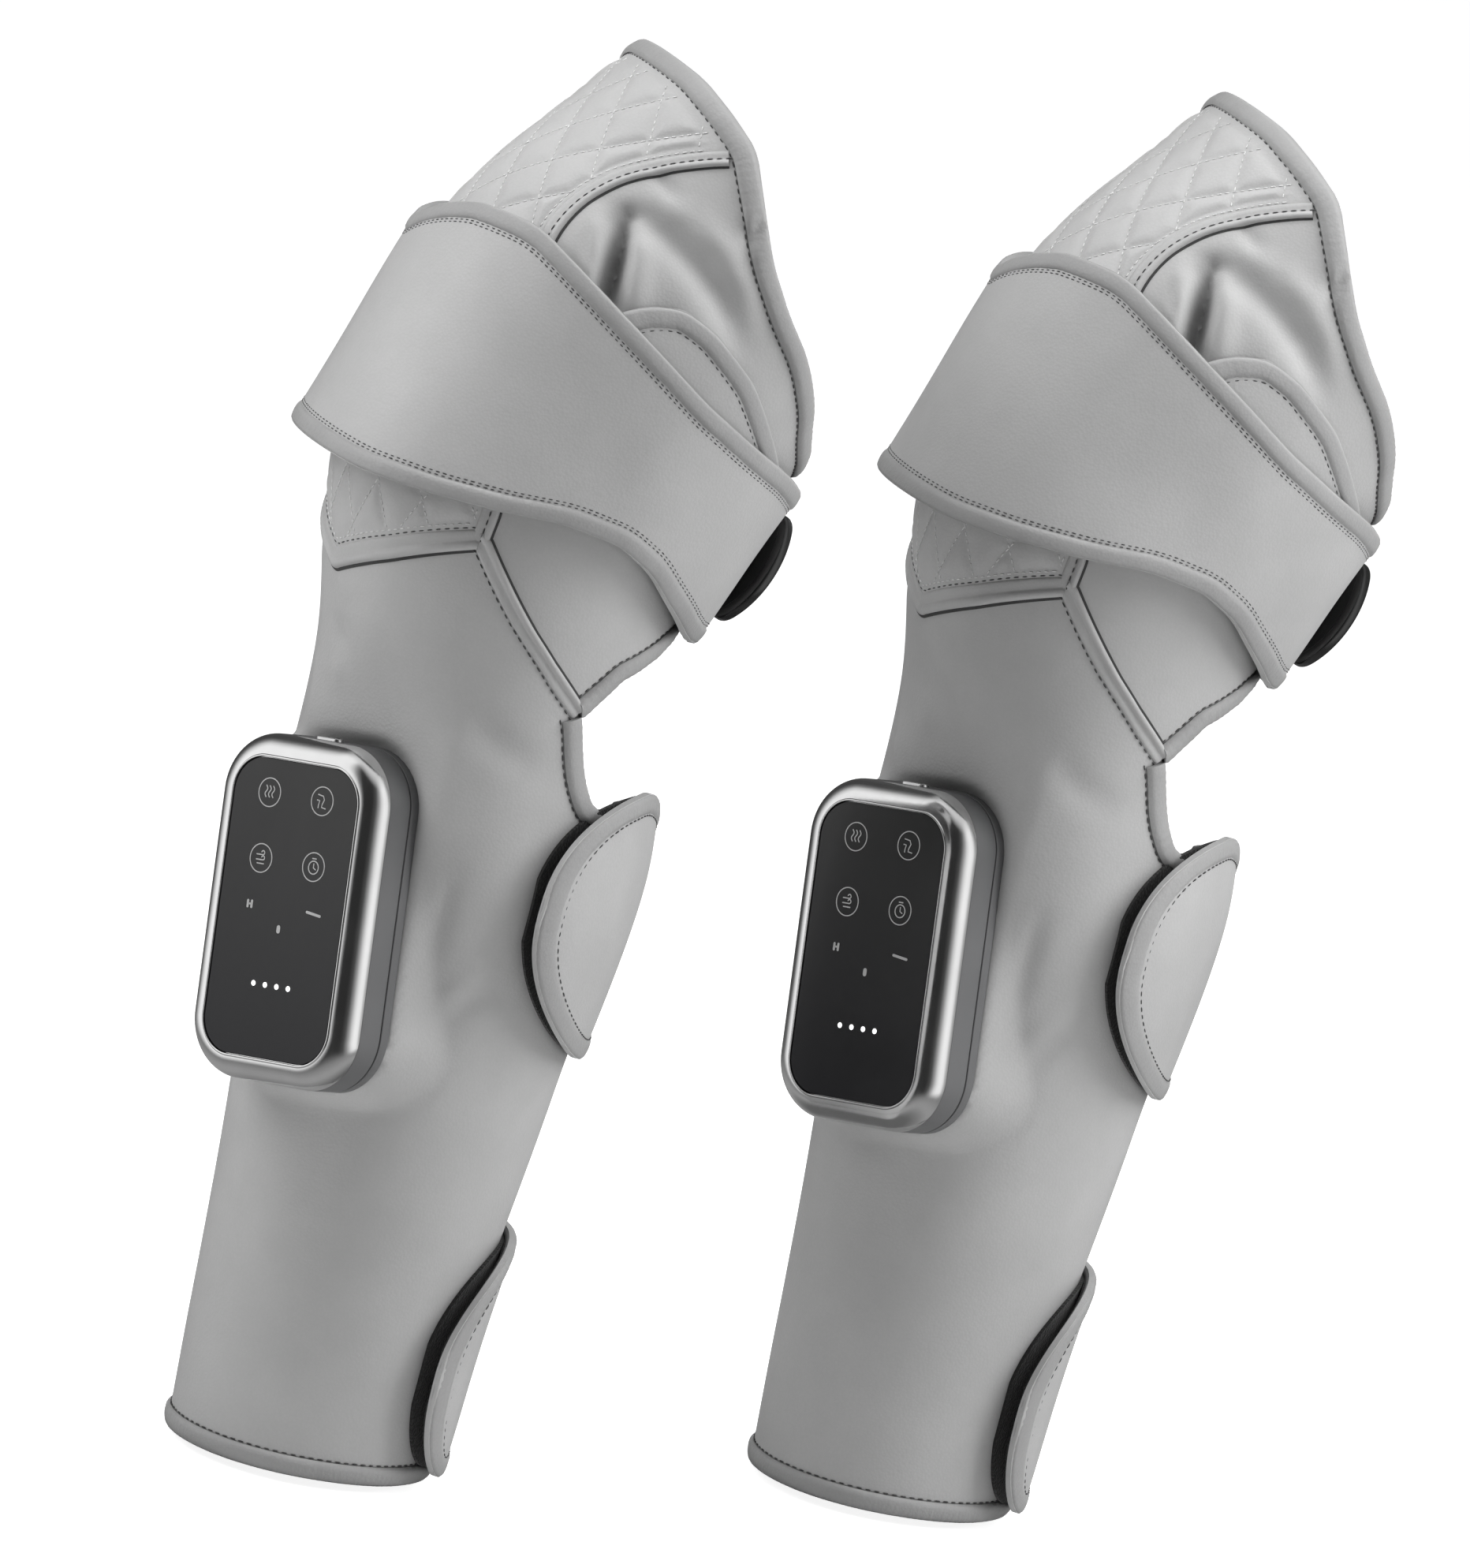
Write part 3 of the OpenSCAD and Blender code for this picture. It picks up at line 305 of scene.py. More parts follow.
# ---------------------------------------------------------------- mesh work
def new_mesh(name, points, faces, sharp=50, uv=None):
    """A mesh in metres from points in mm, turned outwards, smooth but for its edges."""
    mesh = bpy.data.meshes.new(name)
    points = np.asarray(points, float).reshape(-1, 3)
    mesh.from_pydata((points * MM).tolist(), [], [list(f) for f in faces])
    mesh.validate()
    mesh.calc_loop_triangles()
    tris = np.empty(len(mesh.loop_triangles) * 3, int)
    mesh.loop_triangles.foreach_get("vertices", tris)
    p, q, r = points[tris.reshape(-1, 3)].transpose(1, 0, 2)
    if np.einsum("ij,ij->", p, np.cross(q, r)) < 0:
        mesh.flip_normals()
    mesh.shade_smooth()
    mesh.set_sharp_from_angle(angle=math.radians(sharp))
    if uv is not None:
        corner = np.empty(len(mesh.loops), int)
        mesh.loops.foreach_get("vertex_index", corner)
        layer = mesh.uv_layers.new(name="panel")
        layer.uv.foreach_set("vector", (np.asarray(uv).reshape(-1, 2)[corner] * MM).ravel())
    return mesh


def quads(grid):
    """Four corners of each cell of a grid of point numbers."""
    return np.stack([grid[:-1, :-1], grid[:-1, 1:], grid[1:, 1:], grid[1:, :-1]], -1).reshape(-1, 4)


def skin(name, outer, inner, uv=None):
    """A closed sheet between two matching grids of points."""
    n, m = outer.shape[:2]
    top = np.arange(n * m).reshape(n, m)
    low = top + n * m

    def wall(p, q):
        return np.stack([p[:-1], q[:-1], q[1:], p[1:]], -1)

    faces = np.concatenate([
        quads(top), quads(low)[:, ::-1], wall(top[0], low[0]), wall(top[-1], low[-1])[:, ::-1],
        wall(top[:, 0], low[:, 0])[:, ::-1], wall(top[:, -1], low[:, -1]),
    ])
    if uv is not None:
        uv = np.concatenate([uv.reshape(-1, 2)] * 2)
    points = np.concatenate([outer.reshape(-1, 3), inner.reshape(-1, 3)])
    return new_mesh(name, points, faces, uv=uv)


def tube(name, rings, closed=False, sharp=50):
    """A solid from rings of points, closed on itself or capped."""
    n, m = rings.shape[:2]
    ids = np.arange(n * m).reshape(n, m)
    ids = np.concatenate([ids, ids[:, :1]], 1)
    if closed:
        ids = np.concatenate([ids, ids[:1]], 0)
    faces = quads(ids).tolist()
    if not closed:
        faces += [list(ids[0, :-1]), list(ids[-1, :-1][::-1])]
    return new_mesh(name, rings, faces, sharp)


def spaced(path, step=1.3, scale=(1.0, ROUND_MM)):
    """Points an even step apart along a path, by default one of s and a."""
    path = np.asarray(path, float)
    flat = path * scale
    run = np.concatenate([[0], np.cumsum(np.linalg.norm(np.diff(flat, axis=0), axis=1))])
    count = max(int(run[-1] / step), 4)
    at = np.linspace(0, run[-1], count + 1)
    return np.stack([np.interp(at, run, path[:, k]) for k in range(path.shape[1])], -1), at


def evened(path, rounds):
    """Takes the corners off a path in place, with its ends kept."""
    for _ in range(rounds):
        path[1:-1] = (path[:-2] + path[1:-1] + path[2:]) / 3


def leg_inward(path, inward):
    """For each point of s and a on a path, the step of s and a one mm to its side."""
    k = arc_mm(path[:, 0])
    ds, da = np.gradient(path, axis=0).T
    da = da * k
    size = np.hypot(ds, da)
    return inward * np.stack([da / size, -ds / size / k], -1)


def swept(name, surface, path, side, profile, run, pucker):
    """A strip along a path on a surface: its profile is inward mm and height mm, and
    its upper face puckers a little between the stitches."""
    profile = np.asarray(profile, float)
    place = path[:, None, :] + side[:, None, :] * profile[None, :, 0:1]
    wave = 0.6 * np.sin(run * 2 * math.pi / 3.4) + 0.4 * np.sin(run / 2.9 + np.sin(run / 7.3) * 2)
    high = profile[:, 1] > profile[:, 1].mean()
    height = profile[None, :, 1] + pucker * wave[:, None] * high[None, :]
    return tube(name, surface(place[..., 0], place[..., 1], height))


def folded_edge(width, top, bottom, thick, over, crown=0.5):
    """Profile of a folded binding that wraps an edge from height top down to bottom."""
    t = np.linspace(0, 1, 6)
    upper = [
        (mix(width, 0.3, k), top + thick * min(1, 4 * k + 0.25) + crown * math.sin(math.pi * k))
        for k in t
    ]
    mid, half = (top + bottom) / 2, (top - bottom) / 2 + thick
    turn = [
        (0.3 - over * math.cos(math.asin(k)) - 0.2, mid + half * k)
        for k in np.sin(np.linspace(math.pi / 2, -math.pi / 2, 9)[1:-1])
    ]
    lower = [(q[0], top + bottom - q[1]) for q in upper[::-1]]
    return upper + turn + lower + [(width, bottom + 0.1), (0, bottom + 0.1), (0, top), (width, top)]


# ---------------------------------------------------------------- finishes
PLAIN = (1.0, 1.0, 1.0)


def grey(level, tint=PLAIN):
    """A linear colour from an sRGB level."""
    return (*(((level + 0.055) / 1.055) ** 2.4 * q for q in tint), 1.0)


def add_node(tree, kind, inputs=None, **settings):
    """A node with its settings, and a value or a wire for each input that is named."""
    node = tree.nodes.new(kind)
    for key, value in settings.items():
        setattr(node, key, value)
    for key, value in (inputs or {}).items():
        if isinstance(value, bpy.types.NodeSocket):
            tree.links.new(value, node.inputs[key])
        else:
            node.inputs[key].default_value = value
    return node


class Shading:
    """The shader nodes of a material or a world, with the steps that looks share."""

    def __init__(self, owner):
        owner.use_nodes = True
        self.tree = owner.node_tree
        self.tree.nodes.clear()

    def add(self, kind, inputs=None, **settings):
        return add_node(self.tree, "ShaderNode" + kind, inputs, **settings).outputs

    def math(self, operation, first, second=0.0):
        return self.add("Math", {0: first, 1: second}, operation=operation)[0]

    def span(self, value, low, high, to_low=0.0, to_high=1.0):
        return self.add("MapRange", {
            "Value": value, "From Min": low, "From Max": high, "To Min": to_low, "To Max": to_high,
        })[0]

    def blend(self, amount, first, second):
        return self.add("Mix", {0: amount, 6: first, 7: second}, data_type="RGBA")[2]

    def white_for_view(self, plain, white):
        """One shader for the camera, glossy and clear rays, and another for the rest."""
        ray = self.add("LightPath")
        seen = self.math("MAXIMUM", ray["Is Camera Ray"], ray["Is Glossy Ray"])
        seen = self.math("MAXIMUM", seen, ray["Is Transmission Ray"])
        return self.add("MixShader", {0: seen, 1: plain[0], 2: white[0]})[0]


class Finish(Shading):
    """A material under construction, with its pattern in object coordinates."""

    def __init__(self, name, **constants):
        self.material = bpy.data.materials.new(name)
        super().__init__(self.material)
        self.place = self.add("TexCoord")["Object"]
        self.constants = constants

    def stretched(self, x, y, z, place=None):
        return self.add("Mapping", {"Vector": place or self.place, "Scale": (x, y, z)})[0]

    def noise(self, scale, detail=2.0, roughness=0.5, place=None):
        return self.add("TexNoise", {
            "Vector": place or self.place, "Scale": scale, "Detail": detail, "Roughness": roughness,
        })[0]

    def cells(self, scale, place=None):
        inputs = {"Vector": place or self.place, "Scale": scale}
        return self.add("TexVoronoi", inputs, feature="F1")["Distance"]

    def height(self):
        return self.add("SeparateXYZ", {0: self.place})[2]

    def clouded(self, clouds, level, spread, tint=PLAIN):
        pale, dark = grey(level + spread, tint), grey(level - spread, tint)
        return self.blend(self.span(clouds, 0.3, 0.7), dark, pale)

    def dull(self, first, second, low, high):
        return self.span(self.math("ADD", first, second), 0.7, 1.3, low, high)

    def bump(self, height, strength, distance, below=None):
        inputs = {"Height": height, "Strength": strength, "Distance": distance}
        if below is not None:
            inputs["Normal"] = below
        return self.add("Bump", inputs)[0]

    def wire(self, **sockets):
        inputs = {key.replace("_", " "): value for key, value in (self.constants | sockets).items()}
        self.add("OutputMaterial", {0: self.add("BsdfPrincipled", inputs)[0]})
        return self.material


def leather(name, level, grain=0.25, rough=(0.40, 0.52)):
    """Coated leather: fine pebble grain, faint cloudiness, and painted shade that darkens its
    creases and the places under other parts.
    """
    f = Finish(name, Specular_IOR_Level=0.5)
    pebble, pores = f.cells(900.0), f.noise(2600.0)
    tone = f.clouded(f.noise(14.0, 4.0, 0.6), level, 0.022)
    tone = f.blend(f.span(pebble, 0.0, 0.75, 0.0, 0.12), tone, grey(level - 0.10))
    # Painted shade: ambient occlusion darkens the colour in creases, under straps and bands and
    # round the controller.
    painted_shade_openness = f.add("AmbientOcclusion", {"Distance": 0.011}, samples=4)["AO"]
    tone = f.blend(f.span(painted_shade_openness, 0.1, 0.58), grey(level * 0.6), tone)
    return f.wire(
        Base_Color=tone, Roughness=f.dull(f.noise(60.0, 3.0, 0.55), pores, *rough),
        Normal=f.bump(pores, grain * 0.5, 0.0001, f.bump(pebble, grain, 0.00025)),
    )


def woven(name, level, pitch=0.8, rough=0.72):
    """Ribbed tape: fine cross ribs over a slightly uneven weave."""
    f = Finish(name, Specular_IOR_Level=0.35)
    rib = f.add("TexWave", {
        "Vector": f.place, "Scale": 1000 / pitch / 6.28, "Distortion": 1.5, "Detail": 2.0,
        "Detail Scale": 2.0,
    }, wave_type="BANDS", bands_direction="DIAGONAL")["Fac"]
    fuzz = f.noise(1500.0, 3.0)
    tone = f.clouded(f.noise(35.0, 3.0), level, 0.03)
    return f.wire(
        Base_Color=f.blend(f.math("MULTIPLY", rib, 0.25), tone, grey(level - 0.12)),
        Roughness=f.span(fuzz, 0.3, 0.7, rough - 0.08, rough + 0.08),
        Normal=f.bump(fuzz, 0.3, 0.00015, f.bump(rib, 0.35, 0.0002)),
    )


def moulded(name, level, rough=0.45, texture=0.25, tint=PLAIN, specular=0.5, painted_top_shade=None):
    """Moulded plastic with a fine spark texture and slight flow marks, and, where asked, painted
    shade that darkens it towards the top.
    """
    f = Finish(name, Specular_IOR_Level=specular)
    spark, flow = f.noise(3800.0, 3.0, 0.6), f.noise(22.0, 3.0)
    tone = f.clouded(flow, level, 0.012, tint)
    if painted_top_shade:
        tone = f.blend(f.span(f.height(), *painted_top_shade[:2]), tone, grey(painted_top_shade[2], tint))
    return f.wire(
        Base_Color=tone, Roughness=f.dull(spark, flow, rough - 0.06, rough + 0.07),
        Normal=f.bump(spark, texture, 0.00008),
    )


def metal(name, level, rough=0.2, wear=0.02):
    """Plated or turned metal with faint drawn marks and uneven polish."""
    f = Finish(name, Metallic=1.0)
    drawn = f.noise(700.0, 3.0, 0.6, f.stretched(1.0, 1.0, 0.06))
    patches = f.noise(45.0, 3.0)
    return f.wire(
        Base_Color=f.clouded(patches, level, wear),
        Roughness=f.dull(drawn, patches, rough * 0.8, rough * 1.25),
        Normal=f.bump(drawn, 0.03, 0.00005),
    )


def knitted(name, level, loop=1.1):
    """Soft knitted lining with small loops and a little pile."""
    f = Finish(name, Sheen_Weight=0.25, Sheen_Roughness=0.5, Specular_IOR_Level=0.2)
    uv = f.add("UVMap", uv_map="panel")[0]
    loops = f.cells(1000 / loop, f.stretched(1.0, 0.7, 1.0, uv))
    pile = f.noise(2200.0, 3.0)
    tone = f.clouded(f.noise(20.0, 3.0), level, 0.03)
    return f.wire(
        Base_Color=f.blend(f.span(loops, 0.2, 0.8, 0.0, 0.4), tone, grey(level - 0.16)),
        Roughness=f.span(pile, 0.3, 0.7, 0.8, 0.95),
        Normal=f.bump(pile, 0.35, 0.0002, f.bump(loops, 0.6, 0.0004)),
    )


def touch_glass(name):
    """Dark printed glass: clear gloss with the faintest smears, and a painted reflection that makes
    it lighter and less blue towards the top.
    """
    f = Finish(name, Specular_IOR_Level=0.22, Coat_Weight=0.08, Coat_Roughness=0.06)
    smears = f.noise(30.0, 4.0, 0.6, f.stretched(1.0, 1.6, 0.7))
    # Painted reflection: the glass is darker and bluer low down and lighter towards the top.
    tone = f.blend(f.span(f.height(), 0.15, 0.27), grey(0.12, (1.0, 1.0, 1.15)), grey(0.215))
    return f.wire(
        Base_Color=f.blend(f.span(smears, 0.3, 0.7, 0.0, 0.2), tone, grey(0.14)),
        Roughness=f.dull(smears, f.noise(900.0), 0.16, 0.24),
    )


def lit(name, level, strength):
    """Marks on the glass that glow: lamps shining through it, and printed symbols whose faint glow
    is painted light.
    """
    f = Finish(name, Emission_Color=grey(level), Emission_Strength=strength, Roughness=0.5)
    speckle = f.span(f.noise(2000.0), 0.3, 0.7)
    return f.wire(Base_Color=f.blend(speckle, grey(level - 0.05), grey(level)))


LEATHER = leather("leather_panels", 0.68)
QUILTED = leather("leather_quilted", 0.70, 0.22, (0.44, 0.55))
EDGING = leather("leather_edging", 0.60, 0.3, (0.42, 0.55))
# Dark leather for thin strips beside the welts: painted shade, standing in for the shadowed gap
# beside each roll.
SEAM_SHADE = leather("leather_painted_seam_shade", 0.24, 0.2, (0.55, 0.65))
LINING = knitted("lining_knit", 0.50)
# Dark pile of the hook and loop pads. Under each lifted strap it also stands in for the shade in
# the gap, so it is partly painted shade.
PILE_AND_SHADE = knitted("fastener_pile_and_painted_shade", 0.13, 0.8)
THREAD = woven("thread_dark", 0.30, 0.3, 0.6)
PALE_THREAD = woven("thread_pale", 0.86, 0.3, 0.6)
RING = moulded("ring_gloss", 0.10, 0.16, 0.05, specular=0.6)
# Painted shade: the housing's colour darkens towards its top, between two heights, to a darker
# level.
HOUSING = moulded(
    "housing_plastic", 0.385, 0.42, 0.2, (0.99, 1.0, 1.02), painted_top_shade=(0.225, 0.275, 0.28),
)
BEZEL = metal("bezel_satin", 0.90, 0.16)
BUTTON = metal("button_satin", 0.84, 0.25)
STEEL = metal("plated_steel", 0.72, 0.28)
GLASS = touch_glass("touch_glass")
# The printed symbols' faint glow is painted light; the level lamps are real lights.
SYMBOL = lit("printed_symbols_painted_glow", 0.66, 0.12)
LAMP = lit("level_lamps", 0.96, 0.9)

# ---------------------------------------------------------------- placing
SIDES = ("left", "right")


def shown(name, data):
    """A new object in the scene for a mesh, a lamp or a camera."""
    obj = bpy.data.objects.new(name, data)
    bpy.context.scene.collection.objects.link(obj)
    return obj


def evaluated(obj):
    """A plain mesh of an object with its modifiers worked out."""
    bpy.context.view_layer.update()
    graph = bpy.context.evaluated_depsgraph_get()
    return bpy.data.meshes.new_from_object(obj.evaluated_get(graph))


def settle(mesh, name, body, nodes, material):
    """Puts a mesh made for the left unit on both units, each on its own body. A body given as
    (name, start, end) leaves the mesh baked in place and unattached."""
    for side in SIDES:
        data = mesh if side == "left" else mesh.copy()
        if side == "right":
            data.transform(Matrix.Translation(PAIR[side] * MM))
        data.name = f"{side}_{name}"
        if material is not None:
            data.materials.clear()
            data.materials.append(material)
        obj = shown(data.name, data)
        if isinstance(body, tuple):
            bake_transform(obj)
        else:
            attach(obj, "root" if body == "root" else f"{side}_{body}")
        if nodes:
            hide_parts(*[f"{side}_{node}" for node in nodes])


def joined(name, meshes):
    """One mesh out of several."""
    whole = bmesh.new()
    for mesh in meshes:
        whole.from_mesh(mesh)
    out = bpy.data.meshes.new(name)
    whole.to_mesh(out)
    whole.free()
    return out


# ---------------------------------------------------------------- stitches
def stitch_tree():
    """Stitches along the edges of a mesh, lying on its stored normals."""
    tree = bpy.data.node_groups.new("stitches", "GeometryNodeTree")
    for name, way, kind, value in (
        ("Geometry", "INPUT", "Geometry", None), ("Pitch", "INPUT", "Float", 0.0034),
        ("Length", "INPUT", "Float", 0.0025), ("Thickness", "INPUT", "Float", 0.0006),
        ("Thread", "INPUT", "Material", None), ("Geometry", "OUTPUT", "Geometry", None),
    ):
        socket = tree.interface.new_socket(name, in_out=way, socket_type=f"NodeSocket{kind}")
        if value is not None:
            socket.default_value = value

    def add(kind, inputs=None, **settings):
        return add_node(tree, kind, inputs, **settings).outputs

    given = add("NodeGroupInput")
    line = add("GeometryNodeMeshToCurve", {0: given["Geometry"]})
    lengths = {"Curve": line[0], "Length": given["Pitch"]}
    even = add("GeometryNodeResampleCurve", lengths, mode="LENGTH")
    ball = add("GeometryNodeMeshUVSphere", {"Segments": 6, "Rings": 5, "Radius": 0.5})
    thick = given["Thickness"]
    size = add("ShaderNodeCombineXYZ", {"X": given["Length"], "Y": thick, "Z": thick})
    ball = add("GeometryNodeTransform", {"Geometry": ball["Mesh"], "Scale": size[0]})
    ball = add("GeometryNodeSetShadeSmooth", {0: ball[0]})
    lift = add("GeometryNodeInputNamedAttribute", {"Name": "lift"}, data_type="FLOAT_VECTOR")
    along = add("GeometryNodeInputTangent")
    axes = add(
        "FunctionNodeAxesToRotation", {"Primary Axis": along[0], "Secondary Axis": lift[0]},
        primary_axis="X", secondary_axis="Z",
    )
    chance = add("FunctionNodeRandomValue", {"Min": 0.88, "Max": 1.1, "Seed": 7}, data_type="FLOAT")
    copies = add("GeometryNodeInstanceOnPoints", {
        "Points": even[0], "Instance": ball[0], "Rotation": axes[0],
        "Scale": next(q for q in chance if q.enabled),
    })
    real = add("GeometryNodeRealizeInstances", {0: copies[0]})
    dyed = add("GeometryNodeSetMaterial", {"Geometry": real[0], "Material": given["Thread"]})
    add("NodeGroupOutput", {0: dyed[0]})
    return tree


STITCH_TREE = stitch_tree()


def stitched(name, seams, thread, pitch=3.4, length=2.5, thick=0.6):
    """A mesh of stitches along seams, each a pair of points and upward directions."""
    points = np.concatenate([p for p, _ in seams])
    lifts = np.concatenate([n for _, n in seams])
    edges, base = [], 0
    for p, _ in seams:
        edges += [(base + i, base + i + 1) for i in range(len(p) - 1)]
        base += len(p)
    lines = bpy.data.meshes.new(name + "_lines")
    lines.from_pydata((points * MM).tolist(), edges, [])
    layer = lines.attributes.new("lift", "FLOAT_VECTOR", "POINT")
    layer.data.foreach_set("vector", lifts.astype(np.float32).ravel())
    obj = shown(name, lines)
    modifier = obj.modifiers.new("stitches", "NODES")
    modifier.node_group = STITCH_TREE
    values = {"Pitch": pitch * MM, "Length": length * MM, "Thickness": thick * MM, "Thread": thread}
    for item in STITCH_TREE.interface.items_tree:
        if item.item_type == "SOCKET" and item.in_out == "INPUT" and item.name in values:
            modifier[item.identifier] = values[item.name]
    made = evaluated(obj)
    bpy.data.objects.remove(obj)
    return made


def seam(surface, path, height):
    """Points along a path at a height on a surface, with its upward directions."""
    path = np.asarray(path, float)
    p = surface(path[:, 0], path[:, 1], height)
    return p, unit(surface(path[:, 0], path[:, 1], height + 0.5) - p)


def beside(path, side, distance):
    return path + side * distance


# ---------------------------------------------------------------- outer panels
def grid(rows, columns):
    """A column and a row of even places, each from its first, last and count."""
    return np.linspace(*rows)[:, None], np.linspace(*columns)[None, :]


def leg_skin(name, s, a, top, low, surface=sleeve):
    """A closed sheet between two heights on a surface."""
    return skin(name, surface(s, a, top), surface(s, a, low), pairs(a * ROUND_MM, s))


u = np.linspace(0, 1, 136)[:, None]
a = np.concatenate([
    np.linspace(SHELL_START, -115, 21, endpoint=False), np.linspace(-115, -101, 14, endpoint=False),
    np.linspace(-101, 101, 99, endpoint=False), np.linspace(101, 115, 14, endpoint=False),
    np.linspace(115, SHELL_END, 36),
])[None, :]  # closer together at the corners of the notch
settle(
    leg_skin("calf", calf_top(a) * u, a, 0.0, SHELL_IN),
    "calf_wrap", "root", ["calf_shell"], LEATHER,
)

# Quilted knee panel: pillows between two crossing families of stitch lines
QUILT_ACROSS, QUILT_ALONG, QUILT_EDGE = 24.0, 29.0, 5.0
QUILT_MM = 1.32  # mm for one degree across the panel
PILLOW_H, PILLOW_EDGE, LINE_GAP = 1.3, 2.4, 18.4
SEAM_ROOM, RIM_ROOM = 3.2, 7.4  # flat stretch beside the welts and the rim's tape
QUILT_STITCH_Z = 0.35


def panel_place(u, v):
    """Place on the quilted panel: u from its lower seam to the rim, v from side to side."""
    s = mix(calf_top(PANEL_A * v) + 0.3, rim(PANEL_RIM_A * v), u)
    return s, v * seam_side(u)


def quilt(u, v):
    """Height of the quilted panel over the sleeve, lowest on its stitch lines."""
    s, a = panel_place(u, v)
    x, y = a * QUILT_MM, s - CALF_LEN
    one, two = x / QUILT_ACROSS + y / QUILT_ALONG, x / QUILT_ACROSS - y / QUILT_ALONG
    near = np.minimum(abs(one - np.round(one)), abs(two - np.round(two))) * LINE_GAP
    over_seam = s - panel_place(0 * u, v)[0] - SEAM_ROOM
    under_rim = panel_place(0 * u + 1, v)[0] - s - RIM_ROOM
    in_side = (1 - abs(v)) * seam_side(u) * QUILT_MM - SEAM_ROOM
    border = np.minimum(np.minimum(over_seam, under_rim), in_side)
    near = np.minimum(near, abs(border - QUILT_EDGE + 3))
    pillow = PILLOW_H * (1 - np.exp(-((near / PILLOW_EDGE) ** 1.4)))
    return pillow * smooth(border / 2.0) + 0.2


u, v = grid((0, 1, 150), (-1, 1, 130))
s, a = panel_place(u, v)
settle(
    leg_skin("panel", s, a, quilt(u, v), SHELL_IN),
    "knee_quilt", "root", ["knee_panel"], QUILTED,
)


def side_place(u, v, side):
    """Place on a gusset: u from its lower seam to the rim, v from front to back."""
    s = mix(thigh_bottom(mix(PANEL_A, BACK_A, v)) + 0.3, rim(mix(PANEL_RIM_A, BACK_A, v)), u)
    return s, side * mix(seam_side(u) + 0.3, BACK_A, v)


u, v = grid((0, 1, 90), (0, 1, 110))
gussets = [leg_skin("gusset", *side_place(u, v, side), 0.0, SHELL_IN) for side in (-1, 1)]
settle(
    joined("gussets", gussets), "thigh_gussets", "root", ["side_panels"], LEATHER,
)

# ---------------------------------------------------------------- edges and seams
BINDING_W, LINING_BACK = 6.5, LINING_IN - 0.9
NOTCH_LOW_A, NOTCH_HIGH_A = 102.3, 102.8  # where the tapes of the notch start
EDGE = folded_edge(BINDING_W, 0.35, LINING_BACK - 0.1, thick=1.1, over=1.9)
WELT = [
    (-3.0, -0.6), (-3.05, 0.3), (-2.9, 1.0), (-2.4, 1.55), (-1.8, 1.75), (-1.2, 1.6), (-0.7, 1.15),
    (-0.4, 0.75), (0.0, 0.62), (1.2, 0.85), (2.2, 0.8), (2.8, 0.5), (3.0, 0.1), (3.0, -0.6),
]
# A thin dark strip along each welt's rolled side: painted shade where the gap beside the roll falls
# in shadow.
WELT_SHADE_STRIP = [(-3.95, -0.6), (-3.9, 0.16), (-3.5, 0.3), (-3.0, 0.34), (-2.95, -0.6)]


def leg_path(low, high, make, count):
    """Points of s and a from a rule for them, between two values of its variable."""
    return pairs(*make(np.linspace(low, high, count)))


def leg_line(low, high, make, inward):
    """An even path on the sleeve, its inward steps and its running length."""
    path, run = spaced(leg_path(low, high, make, 900))
    return path, leg_inward(path, inward), run


def bound(low, high, make, inward, pucker=0.14):
    """A cut edge's folded tape, and the stitches beside it."""
    path, side, run = leg_line(low, high, make, inward)
    mesh = swept("edge", sleeve, path, side, EDGE, run, pucker)
    return mesh, seam(sleeve, beside(path, side, BINDING_W + 0.5), 0.15)


def welted(low, high, make, inward, lines, flip=1):
    """A seam's folded strip, rolled on one side, with a thin dark strip of painted shade beside the
    roll, and stitches at mm across it.
    """
    path, side, run = leg_line(low, high, make, inward)
    strips = [
        swept("welt", sleeve, path, side, [(flip * x, z) for x, z in profile[::flip]], run, 0.06)
        for profile in (WELT, WELT_SHADE_STRIP)
    ]
    return strips, [seam(sleeve, beside(path, side, flip * x), z) for x, z in lines]


hem, hem_seam = bound(SHELL_START, SHELL_END, lambda t: (0 * t, t), 1)
settle(hem, "hem_tape", "root", ["hem_binding"], EDGING)
top, rim_seam = bound(-BACK_A, BACK_A, lambda t: (rim(t), t), -1, 0.2)
settle(top, "rim_tape", "root", ["rim_binding"], EDGING)

dark_seams, tapes = [hem_seam, rim_seam], []
for side in (-1, 1):
    shell_side = SHELL_END if side > 0 else -SHELL_START
    for start, end, edge, inward in (
        (NOTCH_LOW_A, shell_side, calf_top, -side), (NOTCH_HIGH_A, BACK_A, thigh_bottom, side),
    ):
        tape, line = bound(start, end, lambda t: (edge(side * t), side * t), inward, 0.22)
        tapes.append(tape)
        dark_seams.append(line)
settle(joined("notch", tapes), "notch_tapes", "root", ["notch_binding"], EDGING)

IN_GROOVE, AT_FLAT = (-0.1, 0.75), (3.5, 0.2)  # mm across a strip, and height
seam_strips = []
for side in (-1, 1):
    seam_strips += [
        welted(56.6, 101.8, lambda t: (calf_top(t), side * t), side, [AT_FLAT], -1),
        welted(0.004, 0.962, lambda t: (seam_up(t), side * seam_side(t)), side, [IN_GROOVE]),
    ]
seam_strips.append(welted(-56.8, 56.8, lambda t: (calf_top(t), t), 1, [AT_FLAT]))
welts, seam_shade_strips = zip(*(strips for strips, _ in seam_strips))
dark_seams += [line for _, lines in seam_strips for line in lines]
# The dark strips beside the rolls are painted shade.
settle(joined("seam_shade_strips", seam_shade_strips), "seam_painted_shade", "root", [], SEAM_SHADE)
settle(joined("welts", welts), "seam_welts", "root", ["piping"], LEATHER)


def sewn(name, seams, body, slot, thread, **sizes):
    """Stitches along seams, on both units."""
    settle(stitched(name, seams, thread, **sizes), name, body, [], None)


sewn("sleeve_stitches", dark_seams, "root", "edging", THREAD)


